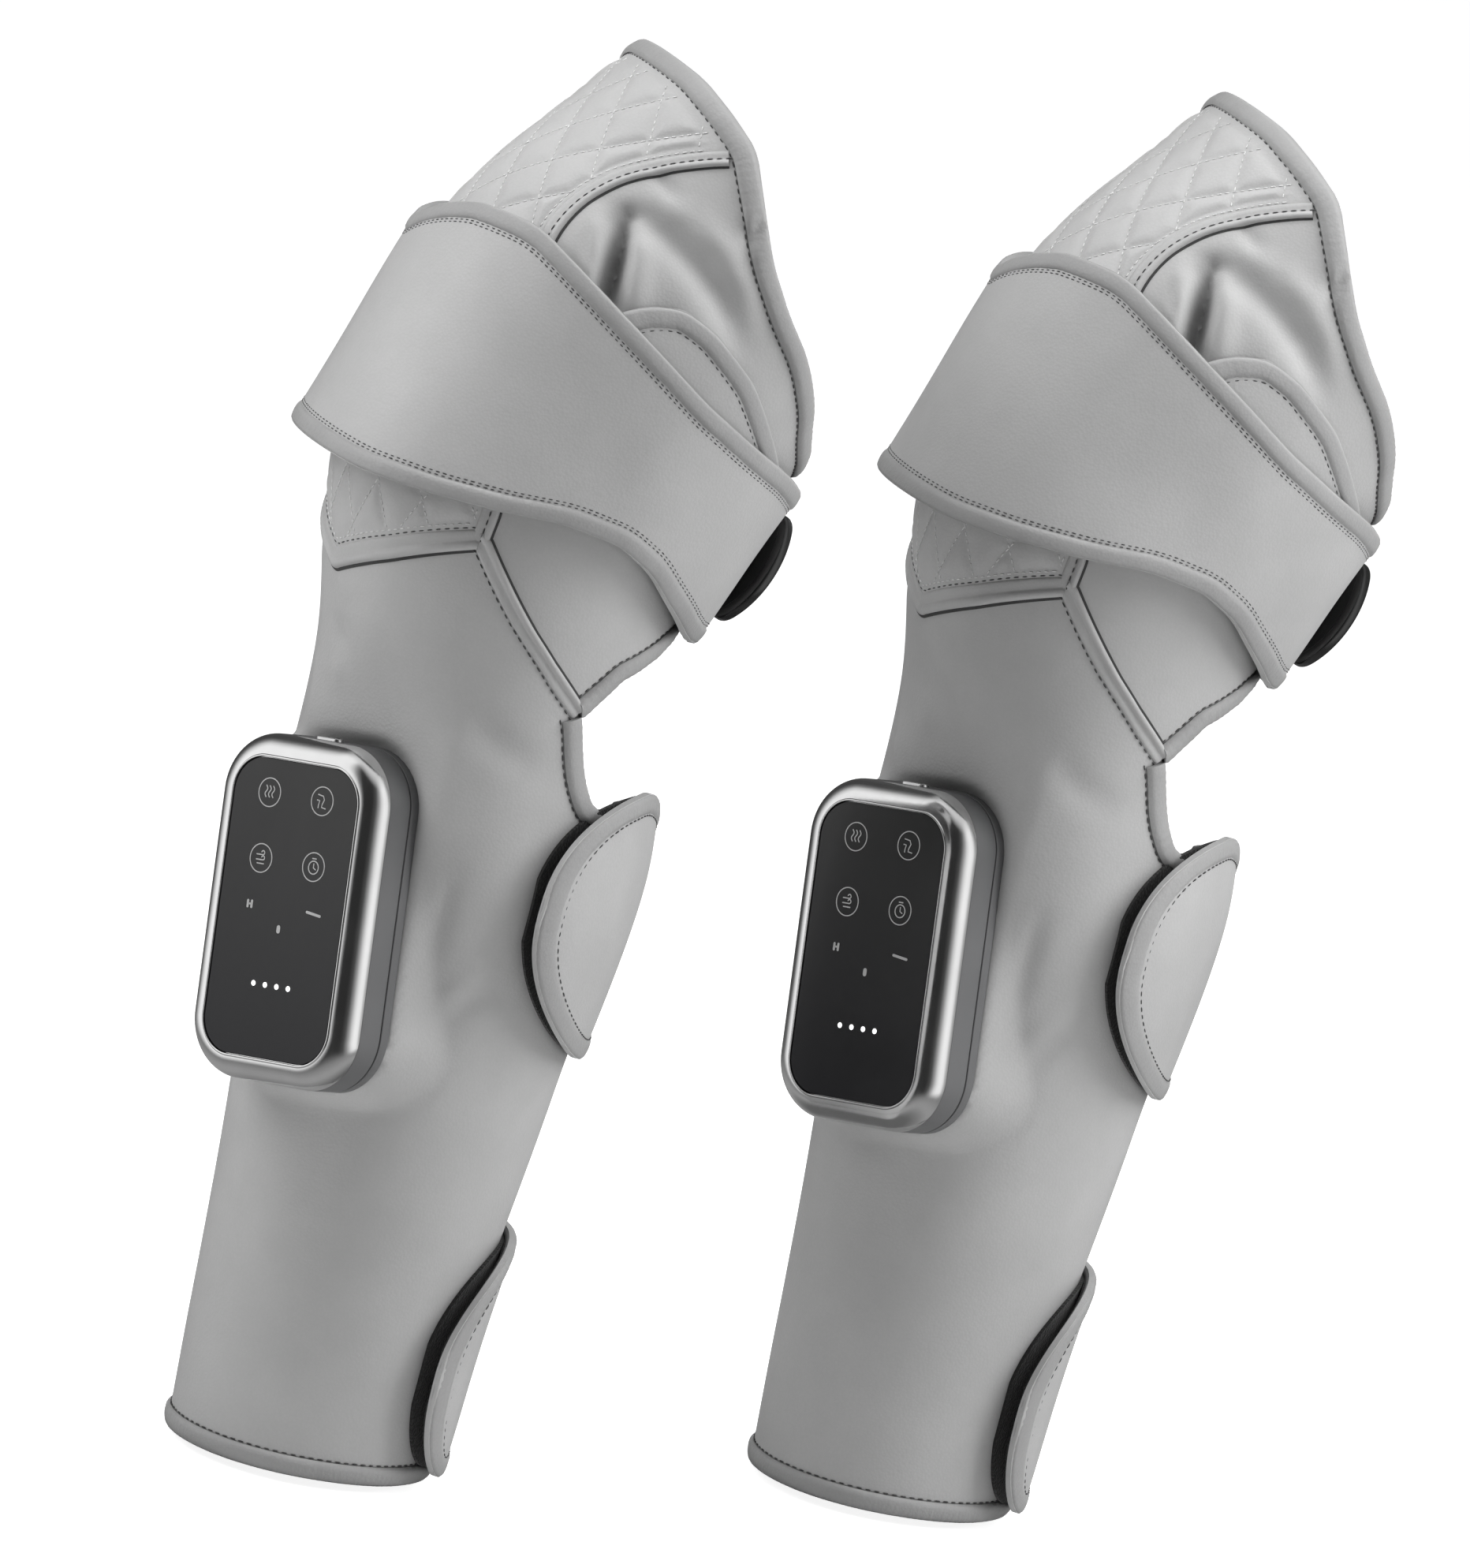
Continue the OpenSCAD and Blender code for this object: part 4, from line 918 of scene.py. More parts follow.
def quilt_lines():
    """Stitches of the two families of lines, where they cross the panel's inside."""
    lines = []
    y = np.linspace(CALF_LEN, RIM_TOP, 260)
    for family in (1, -1):
        for n in range(-12, 26):
            a = QUILT_ACROSS * (n - family * (y - CALF_LEN) / QUILT_ALONG) / QUILT_MM
            low, high = calf_top(a), rim(a)
            edge = seam_side(np.clip((y - low) / (high - low), 0, 1))
            inside = (abs(a) < edge - QUILT_EDGE / QUILT_MM) & (y > low + QUILT_EDGE + 1)
            inside &= y < high - QUILT_EDGE - 5
            turns = np.where(np.diff(inside.astype(int)) != 0)[0] + 1
            for run in np.split(np.arange(len(y)), turns):
                if len(run) > 6 and inside[run[0]]:
                    lines.append(seam(sleeve, pairs(y[run], a[run]), QUILT_STITCH_Z))
    return lines


def border_line(make, low, high):
    """Stitches of the line that runs inside the panel's edges."""
    return seam(sleeve, leg_path(low, high, make, 200), QUILT_STITCH_Z)


pale = quilt_lines()
for side in (-1, 1):
    pale.append(border_line(
        lambda t: (seam_up(t), side * (seam_side(t) - QUILT_EDGE / QUILT_MM)), 0.05, 0.93,
    ))
pale.append(border_line(lambda t: (calf_top(t) + QUILT_EDGE, t), -52, 52))
sewn(
    "quilt_stitches", pale, "root", "quilted_leather", PALE_THREAD,
    pitch=2.9, length=2.1, thick=0.55,
)

# ---------------------------------------------------------------- linings and fillings
u, a = grid((0, 1, 110), (-194.5, 165, 200))
settle(
    leg_skin("lining", (calf_top(a) - 1.5) * u, a, LINING_OUT, LINING_IN),
    "calf_lining_knit", "root", ["calf_lining"], LINING,
)


def thigh_at(u, w):
    """Place on the thigh part: the front panel lies between -1 and 1 of w."""
    v, x = np.minimum(abs(w), 1), np.maximum(abs(w) - 1, 0)
    low = np.where(x > 0, thigh_bottom(mix(PANEL_A, BACK_A, x)), calf_top(PANEL_A * v))
    high = rim(np.where(x > 0, mix(PANEL_RIM_A, BACK_A, x), PANEL_RIM_A * v))
    edge = seam_side(u)
    return mix(low, high, u), np.sign(w) * np.where(x > 0, mix(edge, BACK_A, x), v * edge)


u, w = grid((0.01, 0.99, 70), (-2, 2, 230))
settle(
    leg_skin("lining", *thigh_at(u, w), LINING_OUT, LINING_IN),
    "thigh_lining_knit", "root", ["thigh_lining"], LINING,
)


def puffed(t, count):
    """Share of full thickness across welded channels."""
    return 0.35 + 0.65 * np.sqrt(abs(np.sin(math.pi * np.clip(t, 0, 1) * count)))


CHAMBER_MID, CHAMBER_HALF = -4.9, 2.0
chambers = []
for low, high in ((92, 191), (-146, -54)):
    u, t = grid((0.06, 0.9, 80), (0, 1, 60))
    a = mix(low, high, t)
    swell = puffed((u - 0.06) / 0.84, 5) * (0.4 + 0.6 * smooth(np.minimum(t, 1 - t) * 12))
    half = CHAMBER_HALF * swell
    chambers.append(
        leg_skin("chamber", (calf_top(a) - 1.5) * u, a, CHAMBER_MID + half, CHAMBER_MID - half)
    )
FILM = moulded("chamber_film", 0.78, 0.3, 0.1)
FOAM = knitted("foam_pad", 0.62, 0.7)
PAD = woven("heater_cloth", 0.36, 0.9)
settle(
    joined("chambers", chambers), "air_cells", "root", ["air_chambers"], FILM,
)
u, w = grid((0.125, 0.875, 40), (1.1, 1.92, 60))
foams = [leg_skin("foam", *thigh_at(u, side * w), FILL_OUT, FILL_IN) for side in (-1, 1)]
settle(joined("foams", foams), "thigh_pads", "root", ["thigh_foam"], FOAM)
u, w = grid((0.125, 0.875, 60), (-0.75, 0.75, 60))
wave = 0.5 * abs(np.sin(w * 5 * math.pi)) + 0 * u
s, a = grid((283.8, CALF_LEN + 38, 40), (30, 38, 7))
pads = [
    leg_skin("pad", *thigh_at(u, w), FILL_OUT - 0.5 + wave, FILL_IN + 0.5 - wave),
    leg_skin("lead", s, a, FILL_OUT - 1.4, FILL_OUT - 2.6),
]
settle(
    joined("pads", pads), "knee_warmer", "root", ["knee_heating_pad"], PAD,
)

# ---------------------------------------------------------------- straps
STRAP_T, STRAP_BASE, STRAP_LIFT, STRAP_EDGE = 2.6, 2.7, 6.0, 6.0
HINGE_A = SLIT_A + SLIT_HALF + 1.4
ROOT_END = HINGE_A + 22.2
TAPE_SET = 1.2  # how far a tape's outer edge lies inside the cut edge
# A strap's outline: its place up the leg, the angle of its tip, for its upper and its
# lower edge the greatest distance, the length of the rounded end and how full that is,
# and how far the upper edge falls on the way to the root
Strap = namedtuple("Strap", "s tip above high_end high_power below low_end low_power fall")
UPPER = Strap(228.0, 96.5, 46.0, 38.5, 2.5, 62.0, 63.5, 2.0, 30.0)
LOWER = Strap(47.0, 108.5, 47.0, 46.5, 2.0, 44.0, 30.0, 2.5, 0.0)
TAPE = folded_edge(STRAP_EDGE, STRAP_T - 0.15, 0.1, thick=0.85, over=1.3, crown=0.3)


def rounded_end(x, power):
    """Width of a strap's rounded end, 1 at its full place and 0 at its tip."""
    return (1 - np.clip(x, 0, 1) ** power) ** (1 / power)


def strap_high(k, a):
    full = k.tip + k.high_end
    fall = k.fall * smooth((a - full) / (HINGE_A + 0.2 - full))
    return k.s + k.above * rounded_end((full - a) / k.high_end, k.high_power) - fall


def strap_low(k, a):
    return k.s - k.below * rounded_end(1 - (a - k.tip) / k.low_end, k.low_power)


def strap_surface(k):
    """The surface a strap lies on, lifted off the sleeve towards its tip."""
    def surface(s, a, o):
        lift = STRAP_BASE + STRAP_LIFT * smooth((k.tip + 50 - a) / 50)
        return leg(s, a, lift + o)
    return surface


def arched(v, height, power=4):
    """Crown of a strap across its width, 0 at both edges."""
    return height * (1 - abs(2 * v - 1) ** power)


def edge_strap(name, body, surface, outline, heights, evening=0):
    """The tape round a strap's outline of s and a, and its stitches at each height,
    which lie face down where that is under the strap."""
    path, run = spaced(np.concatenate(outline))
    evened(path, evening)
    side = leg_inward(path, 1)
    path = beside(path, side, TAPE_SET)
    tape = swept("tape", surface, path, side, TAPE, run, 0.12)
    settle(tape, f"{name}_tape", body, [], EDGING)
    line = beside(path, side, STRAP_EDGE + 0.6)
    rows = [(seam(surface, line, z), math.copysign(1, z)) for z in heights]
    rows = [(points, face * lift) for (points, lift), face in rows]
    sewn(f"{name}_stitches", rows, body, "edging", THREAD)


for name, k in (("upper", UPPER), ("lower", LOWER)):
    surface = strap_surface(k)
    t = np.linspace(0, 1, 130)
    a = k.tip + 0.02 + (ROOT_END - k.tip - 0.02) * (0.35 * t + 0.65 * t**2.4)[None, :]
    v = np.linspace(0, 1, 44)[:, None]
    s = mix(strap_low(k, a), strap_high(k, a), v)
    crown = arched(v, 0.45) + 0.25 * np.sin(a / 9.0 + 3 * v) * arched(v, 1, 2)
    body = (
        f"{name}_calf_strap",
        *(leg(k.s, HINGE_A + reach, STRAP_BASE + STRAP_T) for reach in (4.0, -4.0)),
    )
    nodes = [f"{name}_calf_strap"] + (["calf_strap_roots"] if name == "upper" else [])
    mesh = leg_skin("strap", s, a, STRAP_T - 0.1 + crown, 0.0, surface)
    settle(mesh, f"{name}_flap", body, nodes, LEATHER)
    tip = k.tip + 0.01
    there = tip + (ROOT_END - tip) * np.linspace(1, 0, 1500) ** 3
    back = there[::-1][1:]
    outline = pairs(strap_high(k, there), there), pairs(strap_low(k, back), back)
    edge_strap(f"{name}_flap", body, surface, outline, (STRAP_T + 0.3, -0.1))
    # Hook and loop pads under each strap: real fastener pile, whose dark colour also stands in for
    # the shade in the gap under the lifted strap.
    a = k.tip + 1.2 + (60 - 1.2) * (0.35 * t + 0.65 * t**2)[None, :]
    high, low = strap_high(k, a), strap_low(k, a)
    s = (high + low) / 2 + (2 * v - 1) * np.maximum((high - low) / 2 - 2.0, 0.3)
    hooks = leg_skin("hooks", s, a, -0.05, -1.3, surface)
    settle(hooks, f"{name}_hook_pad", body, [], PILE_AND_SHADE)
    loops = leg_skin("loops", s, a, 1.5, 0.1)
    settle(loops, f"{name}_loop_pad", "root", [], PILE_AND_SHADE)

# Thigh strap, held under the knee band
THIGH_HIGH = [
    (57, 0), (58.5, 7), (61, 14), (64, 20), (70, 27), (80, 29), (97, 26), (114, 18),
    (128, 12), (172, 6),
]
THIGH_LOW = [(57, -2), (59, -12), (63, -20), (70, -27), (80, -31), (110, -33), (172, -36)]
THIGH_STRAP_S, THIGH_TIP, THIGH_ROOT = KNEE_END - 6, 57.0, 172.0


def thigh_edge(table, a):
    return THIGH_STRAP_S + averaged(table, a, (-0.8, 0, 0.8))


def thigh_surface(s, a, o):
    return leg(s, a, 1.0 + o)


t = np.linspace(0, 1, 90)
a = (THIGH_TIP + (THIGH_ROOT - THIGH_TIP) * (0.5 * t + 0.5 * t**2))[None, :]
v = np.linspace(0, 1, 40)[:, None]
s = mix(thigh_edge(THIGH_LOW, a), thigh_edge(THIGH_HIGH, a), v)
crown = arched(v, 0.6) + 0 * a
settle(
    leg_skin("strap", s, a, STRAP_T - 0.2 + crown, 0.0, thigh_surface),
    "thigh_flap", "root", ["thigh_strap"], LEATHER,
)
there = np.linspace(THIGH_ROOT, THIGH_TIP + 0.05, 900)
back = np.linspace(THIGH_TIP + 0.05, THIGH_ROOT, 900)
outline = pairs(thigh_edge(THIGH_HIGH, there), there), pairs(thigh_edge(THIGH_LOW, back), back)
edge_strap("thigh_flap", "root", thigh_surface, outline, (STRAP_T + 0.15,), evening=6)

# ---------------------------------------------------------------- knee band
BAND_T = 2.6
BAND_HIGH = [
    (-100, 0), (-60, 0), (-20, -16), (5, -6), (30, 3), (60, 0), (90, -2), (110, 0),
    (130, 3), (200, 4),
]
BAND_LOW = [
    (-100, 0), (22, -1), (43, 1), (61, 4), (77, 8), (94, 8), (108, 1), (129, -21),
    (139, -33), (160, -40), (200, -40),
]
BAND_FRONT = [(-90, 0), (-70, 0), (-20, 1), (20, 1), (95, 0)]
BAND_START, BAND_END, FOLD_A, RING_A = -98.0, 196.0, 149.8, 182.0
BAND_MM = 1.38  # mm along the band for one degree
SEWN_LIFT, FREE_LIFT, LOW_LIFT, HIGH_LIFT = 2.9, 7.3, 18.0, 8.0


def band_station(table, a):
    return averaged(table, a, (-4, -2, 0, 2, 4))


def band_lift(a, front):
    """Height over the sleeve: least where the band is sewn on, most over the shin."""
    free = mix(FREE_LIFT, front, smooth(band_station(BAND_FRONT, a)))
    return mix(SEWN_LIFT, free, smooth((a - BAND_START) / 20))


def band_edges(a, o):
    low = leg(CALF_LEN + 32 + band_station(BAND_LOW, a), a, band_lift(a, LOW_LIFT) + o)
    high = leg(KNEE_END + 4 + band_station(BAND_HIGH, a), a, band_lift(a, HIGH_LIFT) + o)
    return low, high


def band_width(a):
    return np.linalg.norm(np.subtract(*band_edges(a, 0.0)), axis=-1)


def band_at(v, a, o=0.0):
    """Place on the knee band: v from its lower to its upper edge."""
    v, a, o = np.broadcast_arrays(*(np.asarray(x, float) for x in (v, a, o)))
    low, high = band_edges(a, o)
    return mix(low, high, v[..., None])


def band_slack(v, a):
    """Soft unevenness of the band's leather, in mm."""
    return (
        0.7 * np.sin(a / 17.0 + 2.2 * v) * np.sin(math.pi * v)
        + 1.2 * np.exp(-(((a - 88) / 9) ** 2) - ((v - 0.5) / 0.3) ** 2)
        - 1.0 * np.exp(-(((a - 108) / 8) ** 2) - ((v - 0.55) / 0.3) ** 2)
    )


def band_surface(v, a, o):
    return band_at(v, a, o + band_slack(v, a))


FOLD_AT = band_at(0.5, FOLD_A, 0.0)
FOLD_AXIS = unit(band_at(1, FOLD_A) - band_at(0, FOLD_A))
outward = unit(np.array([1.0, 0, 0]) - FOLD_AXIS[0] * FOLD_AXIS)
BAND_BODY = ("knee_band_end", FOLD_AT - 3.0 * outward, FOLD_AT + 3.0 * outward)

v, a = grid((0, 1, 56), (BAND_START, BAND_END, 260))
crown = arched(v, 0.35, 6) + 0 * a
uv = pairs(a * 1.35, v * band_width(a))
mesh = skin("band", band_surface(v, a, crown - 0.1), band_surface(v, a, -BAND_T), uv)
settle(mesh, "knee_wrap", BAND_BODY, ["knee_band", "knee_band_end"], LEATHER)

band_tapes, band_seams = [], []
BAND_TAPE = folded_edge(STRAP_EDGE, -0.15, -BAND_T + 0.1, thick=0.85, over=1.3, crown=0.35)


def band_tape(path, side, run):
    return swept("tape", band_surface, path, side, BAND_TAPE, run, 0.12)


for edge in (0, 1):
    raw = pairs(edge, np.linspace(BAND_START, BAND_END, 900))
    path, run = spaced(raw, scale=(1.0, BAND_MM))
    side = pairs((1 - 2 * edge) / band_width(path[:, 1]), 0)
    path = beside(path, side, TAPE_SET)
    band_tapes.append(band_tape(path, side, run))
    for depth in (0.6, 1.7):
        band_seams.append(seam(band_surface, beside(path, side, STRAP_EDGE + depth), 0.12))
path, run = spaced(pairs(np.linspace(0.03, 0.97, 200), BAND_END - 0.6), scale=(55.0, 1.0))
band_tapes.append(band_tape(path, pairs(0 * run, -1 / BAND_MM), run))
settle(joined("tapes", band_tapes), "knee_wrap_tape", BAND_BODY, [], EDGING)
sewn(
    "knee_wrap_stitches", band_seams, BAND_BODY, "edging", THREAD,
    pitch=2.7, length=1.9, thick=0.5,
)

# Pull ring in its keeper loop
RING_L, RING_W, RING_T, KEEPER_L, KEEPER_T = 46.0, 26.0, 5.0, 30.0, 1.6
RING_CORNER, RING_BOW = 9.0, 32.0
RING_MID = RING_W / 2 - RING_T / 2  # from the pivot to the middle of the ring's opening
KEEPER_IN = RING_T / math.sqrt(2) + 0.35
KEEPER_OUT = KEEPER_IN + KEEPER_T
RING_AT = band_at(0.5, RING_A, KEEPER_OUT + 0.15)
RING_AXIS = unit(band_at(1, RING_A) - band_at(0, RING_A))
reach = band_at(0.5, RING_A - 14, KEEPER_OUT + 5) - RING_AT
RING_OUT = unit(reach - RING_AXIS * (reach @ RING_AXIS))
RING_SIDE = np.cross(RING_AXIS, RING_OUT)


def framed(origin, x_axis, y_axis, z_axis):
    """A way to place x, y and z mm along three axes from a point."""
    def place(x, y, z):
        x, y, z = (np.asarray(q, float)[..., None] for q in np.broadcast_arrays(x, y, z))
        return origin + x * x_axis + y * y_axis + z * z_axis
    return place


def rounded_loop(w, h, r, per_corner=14, per_side=3):
    """Points and outward directions of a rounded rectangle, counterclockwise."""
    points, outs = [], []
    for i, (cx, cy) in enumerate(((1, 1), (-1, 1), (-1, -1), (1, -1))):
        for t in np.linspace(0, 1, per_corner + 1):
            d = np.array(turned((i + t) * 90))
            points.append(np.array([cx * (w / 2 - r), cy * (h / 2 - r)]) + r * d)
            outs.append(d)
    points, outs = np.array(points), np.array(outs)
    dense, dense_out = [], []
    for i in range(len(points)):
        gap = np.linalg.norm(points[i] - points[i - 1])
        steps = per_side if gap > 3 * r * math.pi / 2 / per_corner else 1
        for k in range(1, steps + 1):
            dense.append(mix(points[i - 1], points[i], k / steps))
            dense_out.append(unit(mix(outs[i - 1], outs[i], k / steps)))
    return np.array(dense), np.array(dense_out)


ring_place = framed(RING_AT, RING_OUT, RING_SIDE, RING_AXIS)


def ring_outline(inset, turns):
    """The ring's face from its middle: a rounded box whose outer edge is arched."""
    x, y = np.cos(turns), np.sin(turns)
    w, h, r = (q - inset for q in (RING_W / 2, RING_L / 2, RING_CORNER))
    bow, bow_at = RING_BOW - inset, RING_W / 2 - RING_BOW
    far = np.linspace(0.2, RING_L / 2, 900)[:, None]
    px, py = far * x, far * y
    out = (abs(px) > w) | (abs(py) > h) | (np.hypot(px - bow_at, py) > bow)
    out |= (abs(px) > w - r) & (abs(py) > h - r) & (np.hypot(abs(px) - w + r, abs(py) - h + r) > r)
    edge = np.where(out.any(0), far[np.argmax(out, 0), 0], RING_L / 2)
    edge = sum(np.roll(edge, k) for k in range(-3, 4)) / 7
    return pairs(edge * x, edge * y)


turns = np.linspace(0, 2 * math.pi, 144, endpoint=False)
outer, inner = ring_outline(0, turns), ring_outline(RING_T, turns)
section, _ = rounded_loop(1.0, 1.0, 0.38, 6, 1)
flat = mix(inner[:, None], outer[:, None], section[:, :1] + 0.5)
bar = ring_place(flat[..., 0] + RING_MID, section[:, 1] * RING_T, flat[..., 1])
bar = tube("ring", bar, closed=True)
web = ring_outline(RING_T / 2, turns)
web = web[web[:, 0] > RING_T / 2 + KEEPER_OUT + 1.5 - RING_W / 2]
web = np.roll(web, -np.argmax(np.linalg.norm(np.roll(web, 1, 0) - web, axis=1)), 0)
web = tube("web", np.stack([ring_place(web[:, 0] + RING_MID, z, web[:, 1]) for z in (-1, 1)]))
ring = joined("ring", [bar, web])
settle(ring, "pull_ring_bar", "knee_ring", ["knee_ring"], RING)


# Leather keeper: round the ring's bar and back on to the band
def keeper_foot(away):
    """Height of the band under the keeper, from the ring's pivot."""
    return -KEEPER_OUT - 0.15 - away**2 / 150


mid = KEEPER_IN + KEEPER_T / 2
turns = np.radians(np.linspace(-118, 238, 60))
away = np.linspace(16.0, 3.0, 14)
lower = pairs(-away, keeper_foot(away) + 0.9)
upper = pairs(-away, keeper_foot(away) + 2.6)[::-1]
circle = pairs(mid * np.sin(-turns), -mid * np.cos(turns))
line = np.concatenate([lower, circle[(circle[:, 0] > -3.0) | (circle[:, 1] > -2.0)], upper])
line, _ = spaced(line, 0.8, (1.0, 1.0))
evened(line, 5)
step = unit(np.gradient(line, axis=0))
normal = pairs(-step[:, 1], step[:, 0]) * 0.75
z = np.linspace(-KEEPER_L / 2, KEEPER_L / 2, 24)[:, None]
faces = [ring_place(*(line + k * normal).T[:, None, :], z) for k in (1, -1)]
settle(skin("keeper", *faces), "ring_keeper", "knee_band_end", [], LEATHER)
z = np.linspace(-KEEPER_L / 2 + 2, KEEPER_L / 2 - 2, 30)
lift = np.tile(RING_SIDE, (30, 1))
keeper_seams = [(ring_place(-q, keeper_foot(q) + 3.45, z), lift) for q in (7.0, 14.0)]
sewn("keeper_stitches", keeper_seams, "knee_band_end", "edging", THREAD)

# ---------------------------------------------------------------- controller
BEZEL_R, LIP_W, LIP_H, HOUSING_T, GLASS_T = 8.2, 0.7, 0.4, 2.2, 2.0
BEZEL_W = BEZEL_R + LIP_W
OPEN_W, OPEN_H, OPEN_R = CTL_W - 2 * BEZEL_W, CTL_H - 2 * BEZEL_W, CTL_R - BEZEL_W
BEZEL_Z = CTL_D - BEZEL_R - 0.2
LEDGE_Z = CTL_D - GLASS_T - 0.3
GLASS_TOP = LEDGE_Z + GLASS_T
CRISP = 35  # degrees past which an edge of the controller stays sharp
on_seat = framed(SEAT_AT, CTL_X, CTL_Y, FACE_N)


def on_end(x, y, z):
    """A place on the controller's top or bottom side: z runs up the controller."""
    return on_seat(x, z, y)


def turned_profile(name, w, h, r, profile, closed=False, end_z=None, corner=18):
    """A profile of outward mm and height mm, carried round a rounded rectangle, on the
    seat or, with its height over the seat given, on the controller's end."""
    loop, outs = rounded_loop(w, h, r, corner, 8)
    rings = []
    for out, z in profile:
        x, y = (loop + outs * out).T
        rings.append(on_seat(x, y, z) if end_z is None else on_end(x, y + end_z, z))
    return tube(name, np.array(rings), closed, CRISP)


t = np.linspace(0, math.pi / 2, 22)
roll = [(LIP_W + BEZEL_R * math.cos(q), BEZEL_Z + BEZEL_R * math.sin(q)) for q in t]
roll[-1] = (LIP_W + 0.25, BEZEL_Z + BEZEL_R)
lip_top = CTL_D - 0.2 + LIP_H
ledge_top, ledge_low = LEDGE_Z - 0.15, LEDGE_Z - 1.55
profile = roll + [
    (LIP_W + 0.12, lip_top - 0.28), (LIP_W - 0.02, lip_top - 0.08), (LIP_W - 0.2, lip_top),
    (0.25, lip_top), (0.08, lip_top - 0.08), (0.0, lip_top - 0.25),
    (0.0, ledge_top), (-2.2, ledge_top), (-2.2, ledge_low), (0.0, ledge_low), (LIP_W, BEZEL_Z),
]
bezel = turned_profile("bezel", OPEN_W, OPEN_H, OPEN_R, profile, closed=True)
settle(bezel, "bezel_roll", "root", ["bezel_frame"], BEZEL)


def cut(mesh, cutters):
    """The mesh with other closed meshes taken away from it."""
    obj = shown("cut", mesh)
    tools = [shown("tool", cutter) for cutter in cutters]
    for tool in tools:
        modifier = obj.modifiers.new("cut", "BOOLEAN")
        modifier.operation, modifier.solver, modifier.object = "DIFFERENCE", "EXACT", tool
    made = evaluated(obj)
    for each in [obj] + tools:
        bpy.data.objects.remove(each)
    made.shade_smooth()
    made.set_sharp_from_angle(angle=math.radians(CRISP))
    return made


BUTTON_Z, SOCKET_Z, BUTTON_L, BUTTON_H = 9.5, 4.4, 12.0, 4.4
profile = [
    (-0.4, 0.0), (-0.1, 0.1), (0.0, 0.4), (0.0, 4.0), (-0.15, 4.2), (-0.6, 4.25), (-0.6, 4.95),
    (-0.15, 5.0), (0.0, 5.2), (0.0, BEZEL_Z - 0.55), (-0.12, BEZEL_Z - 0.3), (-0.4, BEZEL_Z - 0.15),
    (-HOUSING_T, BEZEL_Z - 0.15), (-HOUSING_T, HOUSING_T),
]
case = turned_profile("case", CTL_W, CTL_H, CTL_R, profile)
slot = turned_profile(
    "slot", BUTTON_L + 0.5, BUTTON_H + 0.5, BUTTON_H / 2 + 0.24,
    [(0, CTL_H / 2 - 4), (0, CTL_H / 2 + 2)], end_z=BUTTON_Z, corner=10,
)
port = turned_profile(
    "port", 9.6, 3.9, 1.94, [(0, -CTL_H / 2 - 2), (0, -CTL_H / 2 + 4)], end_z=SOCKET_Z, corner=10,
)
settle(cut(case, [slot, port]), "rear_case", "root", ["rear_housing"], HOUSING)

profile = [
    (-0.5, LEDGE_Z), (0.0, LEDGE_Z + 0.1), (0.0, GLASS_TOP - 0.3), (-0.08, GLASS_TOP - 0.08),
    (-0.3, GLASS_TOP),
]
glass = turned_profile("glass", OPEN_W - 0.6, OPEN_H - 0.6, OPEN_R - 0.3, profile)
settle(glass, "front_glass", "root", ["glass_panel"], GLASS)
top_y = CTL_H / 2
wall_in = top_y - HOUSING_T - 0.15
profile = [
    (1.5, wall_in - 1), (1.5, wall_in), (0.0, wall_in), (0.0, top_y + 0.55),
    (-0.12, top_y + 0.85), (-0.45, top_y + 1.0), (-1.4, top_y + 1.06),
]
button = turned_profile(
    "button", BUTTON_L, BUTTON_H, BUTTON_H / 2 - 0.01, profile, end_z=BUTTON_Z, corner=12,
)
settle(button, "button_cap", "power_button", ["power_button"], BUTTON)

# Symbols on the glass, and the level lamps
INK = 0.05


def stroke(points, width=0.42, closed=False):
    """A printed line with round ends."""
    points = np.asarray(points, float)
    if closed:
        points = np.concatenate([points, points[:1]])
    step = unit(np.gradient(points, axis=0))
    if closed:
        step[0] = step[-1] = unit(points[1] - points[-2])
    half = width / 2
    normal = pairs(-step[:, 1], step[:, 0]) * half
    left, right = points + normal, points - normal
    if closed:
        low, high = GLASS_TOP - INK, GLASS_TOP + INK
        corners = ((left, low), (left, high), (right, high), (right, low))
        return tube("print", np.stack([on_seat(*side[:-1].T, z) for side, z in corners], 1), True)
    bow = np.radians(np.linspace(90, -90, 7)[1:-1])[:, None]
    caps = [
        points[i] + way * (half * np.cos(bow) * step[i] + np.sin(bow) * normal[i])
        for i, way in ((-1, 1), (0, -1))
    ]
    return printed(np.concatenate([left, caps[0], right[::-1], caps[1]]))


def printed(outline):
    """A thin print on the glass, filled inside its outline."""
    return tube("print", np.stack([on_seat(*outline.T, GLASS_TOP + k) for k in (-INK, INK)]))


def circle_points(x, y, r, low=0.0, high=360.0, count=40):
    t = np.radians(np.linspace(low, high, count, endpoint=high - low < 360))
    return pairs(x + r * np.cos(t), y + r * np.sin(t))


def heat(x, y):
    t = np.linspace(-1, 1, 17)
    wave = pairs(x + 0.5 * np.sin(t * 3.4), y + 0.3 + 2.1 * t)
    return [stroke(wave + (dx, 0)) for dx in (-1.7, 0, 1.7)]


def leg_sign(x, y):
    shin = [(-2.2, 2.3), (0.3, 1.9), (1.0, 0.6), (0.2, -1.1), (0.0, -2.3), (1.9, -2.6)]
    calf = [(-2.4, 0.2), (-1.2, 0.1), (-1.6, -1.6), (-1.6, -2.6)]
    return [stroke(np.array(line) + (x, y)) for line in (shin, calf)]


def air(x, y):
    lines = [[(x - 1.6, y - 2.0), (x + 1.6, y - 2.0)]]
    for dx, dy in ((1.0, -0.6), (0.75, 1.3)):
        curl = circle_points(x + dx, y + dy + 0.75, 0.75, -90, 160, 14)
        lines.insert(0, np.concatenate([[(x - 2.2, y + dy)], curl]))
    return [stroke(line) for line in lines]


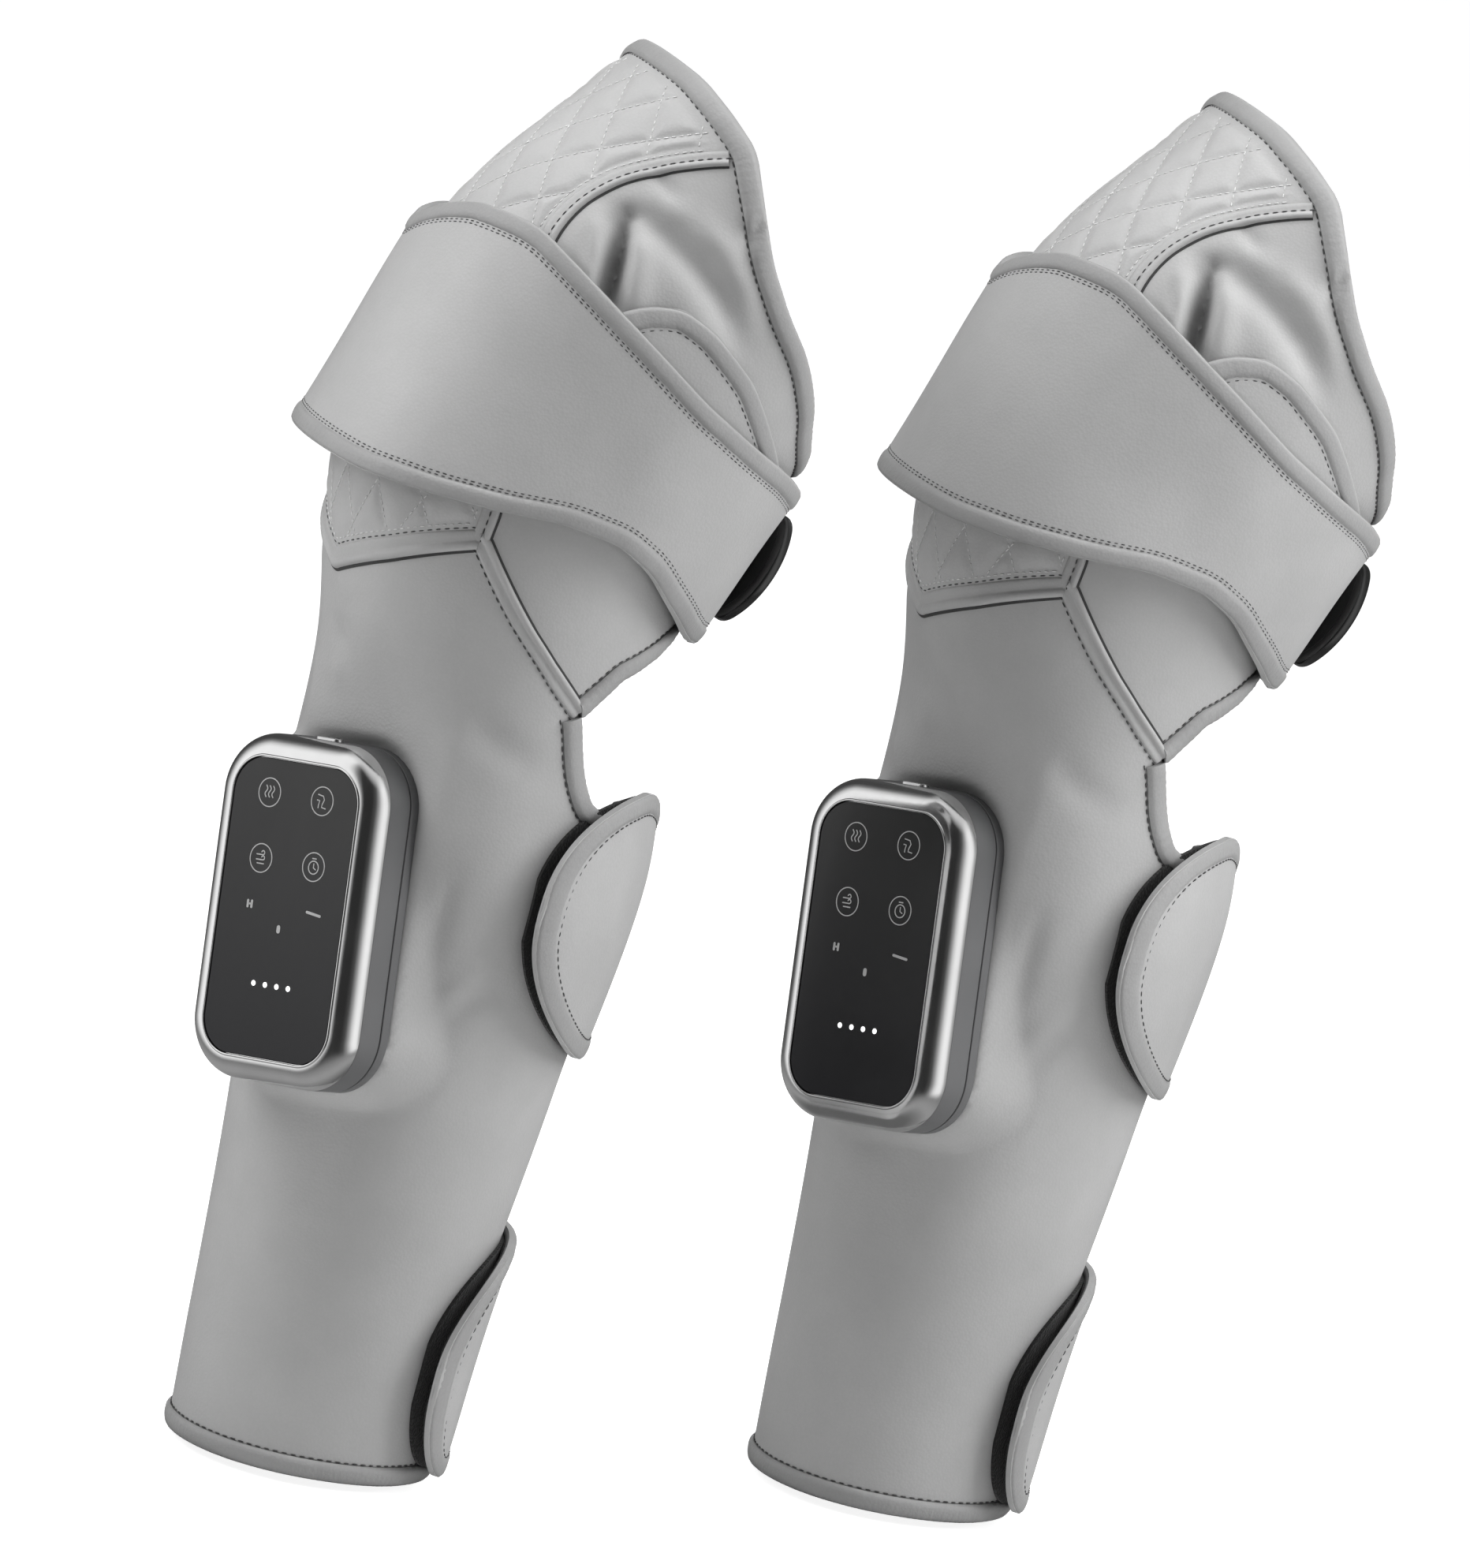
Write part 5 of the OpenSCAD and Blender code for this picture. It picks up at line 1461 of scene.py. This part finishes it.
def clock(x, y):
    return [
        stroke(circle_points(x, y - 0.2, 2.4), closed=True),
        stroke([(x, y + 1.2), (x, y - 0.3), (x + 1.1, y - 0.9)]),
        stroke([(x - 0.9, y + 3.1), (x + 0.9, y + 3.1)]),
    ]


signs = []
for x, y, sign in ((-13, 42.5, heat), (13, 42.5, leg_sign), (-13, 18, air), (13, 18, clock)):
    signs.append(stroke(circle_points(x, y, 5.3, count=64), 0.4, closed=True))
    signs += sign(x, y)
for line, width in (
    ([(-16.45, 1.8), (-16.45, -0.4)], 1.0), ([(-14.55, 1.8), (-14.55, -0.4)], 1.0),
    ([(-16.2, 0.7), (-14.8, 0.7)], 0.7), ([(12.7, 1.2), (19.2, 0.4)], 1.0),
    ([(0, -6.2), (0, -7.6)], 1.7),
):
    signs.append(stroke(line, width))
settle(joined("signs", signs), "glass_symbols", "root", [], SYMBOL)
lamps = [printed(circle_points(x, -28.0, 1.05, count=28)) for x in (-8.6, -2.9, 2.8, 8.5)]
settle(joined("lamps", lamps), "glass_lamps", "root", [], LAMP)

# ---------------------------------------------------------------- inner parts
BOARD = moulded("board_laminate", 0.42, 0.5, 0.15, (0.25, 1.0, 0.45))
WRAP = moulded("cell_wrap", 0.45, 0.35, 0.1, (0.35, 0.6, 1.5))
HOSE = moulded("hose_rubber", 0.70, 0.4, 0.1)
for side in SIDES:
    for node, material in (
        ("control_board", BOARD), ("battery_pack", WRAP), ("air_pump", STEEL), ("air_hoses", HOSE),
        ("mounting_plate", HOUSING), ("housing_screws", STEEL), ("charge_socket", STEEL),
    ):
        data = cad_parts[f"{side}_{node}"].data
        data.materials.clear()
        data.materials.append(material)

# ---------------------------------------------------------------- stage and camera
AZIMUTH, ELEVATION, ROLL = 63.0, 13.0, 12.5
DISTANCE, VIEW_HEIGHT = 12.0, 584.7
AIM_RIGHT, AIM_UP, AIM_BACK = 159.4, 245.3, 20.0
caz, saz = turned(AZIMUTH)
cel, sel = turned(ELEVATION)
crl, srl = turned(ROLL)
level = np.array([-caz, -saz, 0.0])
right_flat = np.array([saz, -caz, 0.0])
up_flat = np.array([0, 0, cel]) - sel * level
to_camera = cel * level + sel * np.array([0, 0, 1.0])
view_right = right_flat * crl + up_flat * srl
view_up = up_flat * crl - right_flat * srl
aim = view_right * AIM_RIGHT + view_up * AIM_UP - to_camera * AIM_BACK

camera = bpy.data.cameras.new("camera")
camera.sensor_fit, camera.sensor_width = "AUTO", 36.0
camera.lens = camera.sensor_width * DISTANCE / (VIEW_HEIGHT * MM)
camera.clip_start, camera.clip_end = 0.1, 200.0
viewer = shown("camera", camera)
turn = Matrix([list(r) for r in np.stack([view_right, view_up, to_camera], 1)]).to_4x4()
viewer.matrix_world = Matrix.Translation(Vector(aim * MM + to_camera * DISTANCE)) @ turn
scene = bpy.context.scene
scene.camera = viewer
scene.view_settings.view_transform = "Standard"


def flat_grey(level):
    return (level, level, level, 1)


scene.world = bpy.data.worlds.new("studio")
sky = Shading(scene.world)
soft, white = (sky.add("Background", {"Color": flat_grey(1), "Strength": k}) for k in (0.15, 1.0))
sky.add("OutputWorld", {0: sky.white_for_view(soft, white)})

floor_mesh = bpy.data.meshes.new("floor")
FLOOR_Z, REACH = -0.0042, 40.0
corners = [(x * REACH, y * REACH, FLOOR_Z) for x, y in ((-1, -1), (1, -1), (1, 1), (-1, 1))]
floor_mesh.from_pydata(corners, [], [(0, 1, 2, 3)])
floor = shown("floor", floor_mesh)
floor_mesh.materials.append(bpy.data.materials.new("pale_floor"))
paper = Shading(floor_mesh.materials[0])
plain, shade = (paper.add("BsdfDiffuse", {"Color": flat_grey(k)}) for k in (0.8, 0.5))
glow = paper.add("Emission", {"Strength": 0.88})
both = paper.add("AddShader", {0: shade[0], 1: glow[0]})
paper.add("OutputMaterial", {0: paper.white_for_view(plain, both)})


# What the metal and the glass mirror: a pale tent with dark sides, seen by nothing else
TENT_AT, TENT_R = Vector((0.10, 0.0, 0.25)), 3.0
tent_mesh = bpy.data.meshes.new("tent")
shape = bmesh.new()
bmesh.ops.create_uvsphere(shape, u_segments=96, v_segments=48, radius=TENT_R)
for vertex in shape.verts:
    vertex.co.z = max(vertex.co.z, FLOOR_Z + 0.0006 - TENT_AT.z)
shape.to_mesh(tent_mesh)
shape.free()
tent = shown("tent", tent_mesh)
tent.location = TENT_AT
for kind in ("camera", "diffuse", "transmission", "volume_scatter", "shadow"):
    setattr(tent, f"visible_{kind}", False)
tent_mesh.materials.append(bpy.data.materials.new("tent_canvas"))
canvas = Shading(tent_mesh.materials[0])
place = canvas.add("TexCoord")["Object"]
away = canvas.add("VectorMath", {0: place}, operation="NORMALIZE")[0]
away = canvas.add("SeparateXYZ", {0: away})
turn = canvas.math("DIVIDE", canvas.math("ARCTAN2", away[1], away[0]), 2 * math.pi)
turn = canvas.add("Math", {0: turn, 1: 1.0, 2: 0.0}, operation="WRAP")[0]
# Strength of the light from each side, in degrees round the tent
SIDES_OF_TENT = (
    (0, 0.14), (56, 0.1), (86, 0.06), (106, 0.06), (122, 0.2), (139, 0.75), (150, 1.05),
    (170, 1.05), (180, 0.25), (190, 0.03), (232, 0.03), (252, 0.08), (268, 0.34), (286, 0.85),
    (300, 1.05), (318, 1.0), (330, 0.55), (346, 0.18), (360, 0.14),
)
ramp = add_node(canvas.tree, "ShaderNodeValToRGB", {0: turn})
stops = ramp.color_ramp.elements
while len(stops) < len(SIDES_OF_TENT):
    stops.new(0.5)
for stop, (degrees, strength) in zip(stops, SIDES_OF_TENT):
    stop.position, stop.color = degrees / 360, flat_grey(strength)
# The bright side on the camera's right reaches further down than the others
lean = canvas.add("VectorMath", {0: place, 1: (0.09, -0.33, 0.0)}, operation="DOT_PRODUCT")[1]
lean = canvas.math("MAXIMUM", canvas.math("MULTIPLY", lean, 1 / TENT_R), 0.0)
leaned = canvas.math("ADD", lean, away[2])
strength = canvas.blend(canvas.span(away[2], 0.72, 0.94), ramp.outputs[0], flat_grey(0.7))
below = canvas.blend(canvas.span(away[2], -0.66, -0.44), flat_grey(0.34), flat_grey(0.2))
below = canvas.blend(canvas.span(away[2], -0.94, -0.74), flat_grey(0.13), below)
strength = canvas.blend(canvas.span(leaned, -0.46, -0.28), below, strength)
glow = canvas.add("Emission", {"Color": strength})
canvas.add("OutputMaterial", {0: glow[0]})


def lamp(name, direction, distance, size, power):
    """A soft box that faces the pair from a direction."""
    light = bpy.data.lights.new(name, "AREA")
    light.shape, light.energy = "RECTANGLE", power
    light.size, light.size_y = size
    obj = shown(name, light)
    away = Vector(unit(direction))
    obj.location = LAMPS_AIM + away * distance
    obj.rotation_mode = "QUATERNION"
    obj.rotation_quaternion = away.to_track_quat("Z", "Y")
    obj.visible_camera = obj.visible_glossy = False


LAMPS_AIM = Vector((0.10, 0.0, 0.27))
up = np.array([0, 0, 1.0])
lamp("left_box", -right_flat + 0.22 * level + 0.9 * up, 1.6, (0.9, 1.4), 20.0)
lamp("right_box", right_flat + 0.05 * level + 0.8 * up, 1.6, (0.8, 1.4), 30.0)
lamp("top_box", up + 0.18 * level, 1.7, (1.2, 1.0), 12.5)
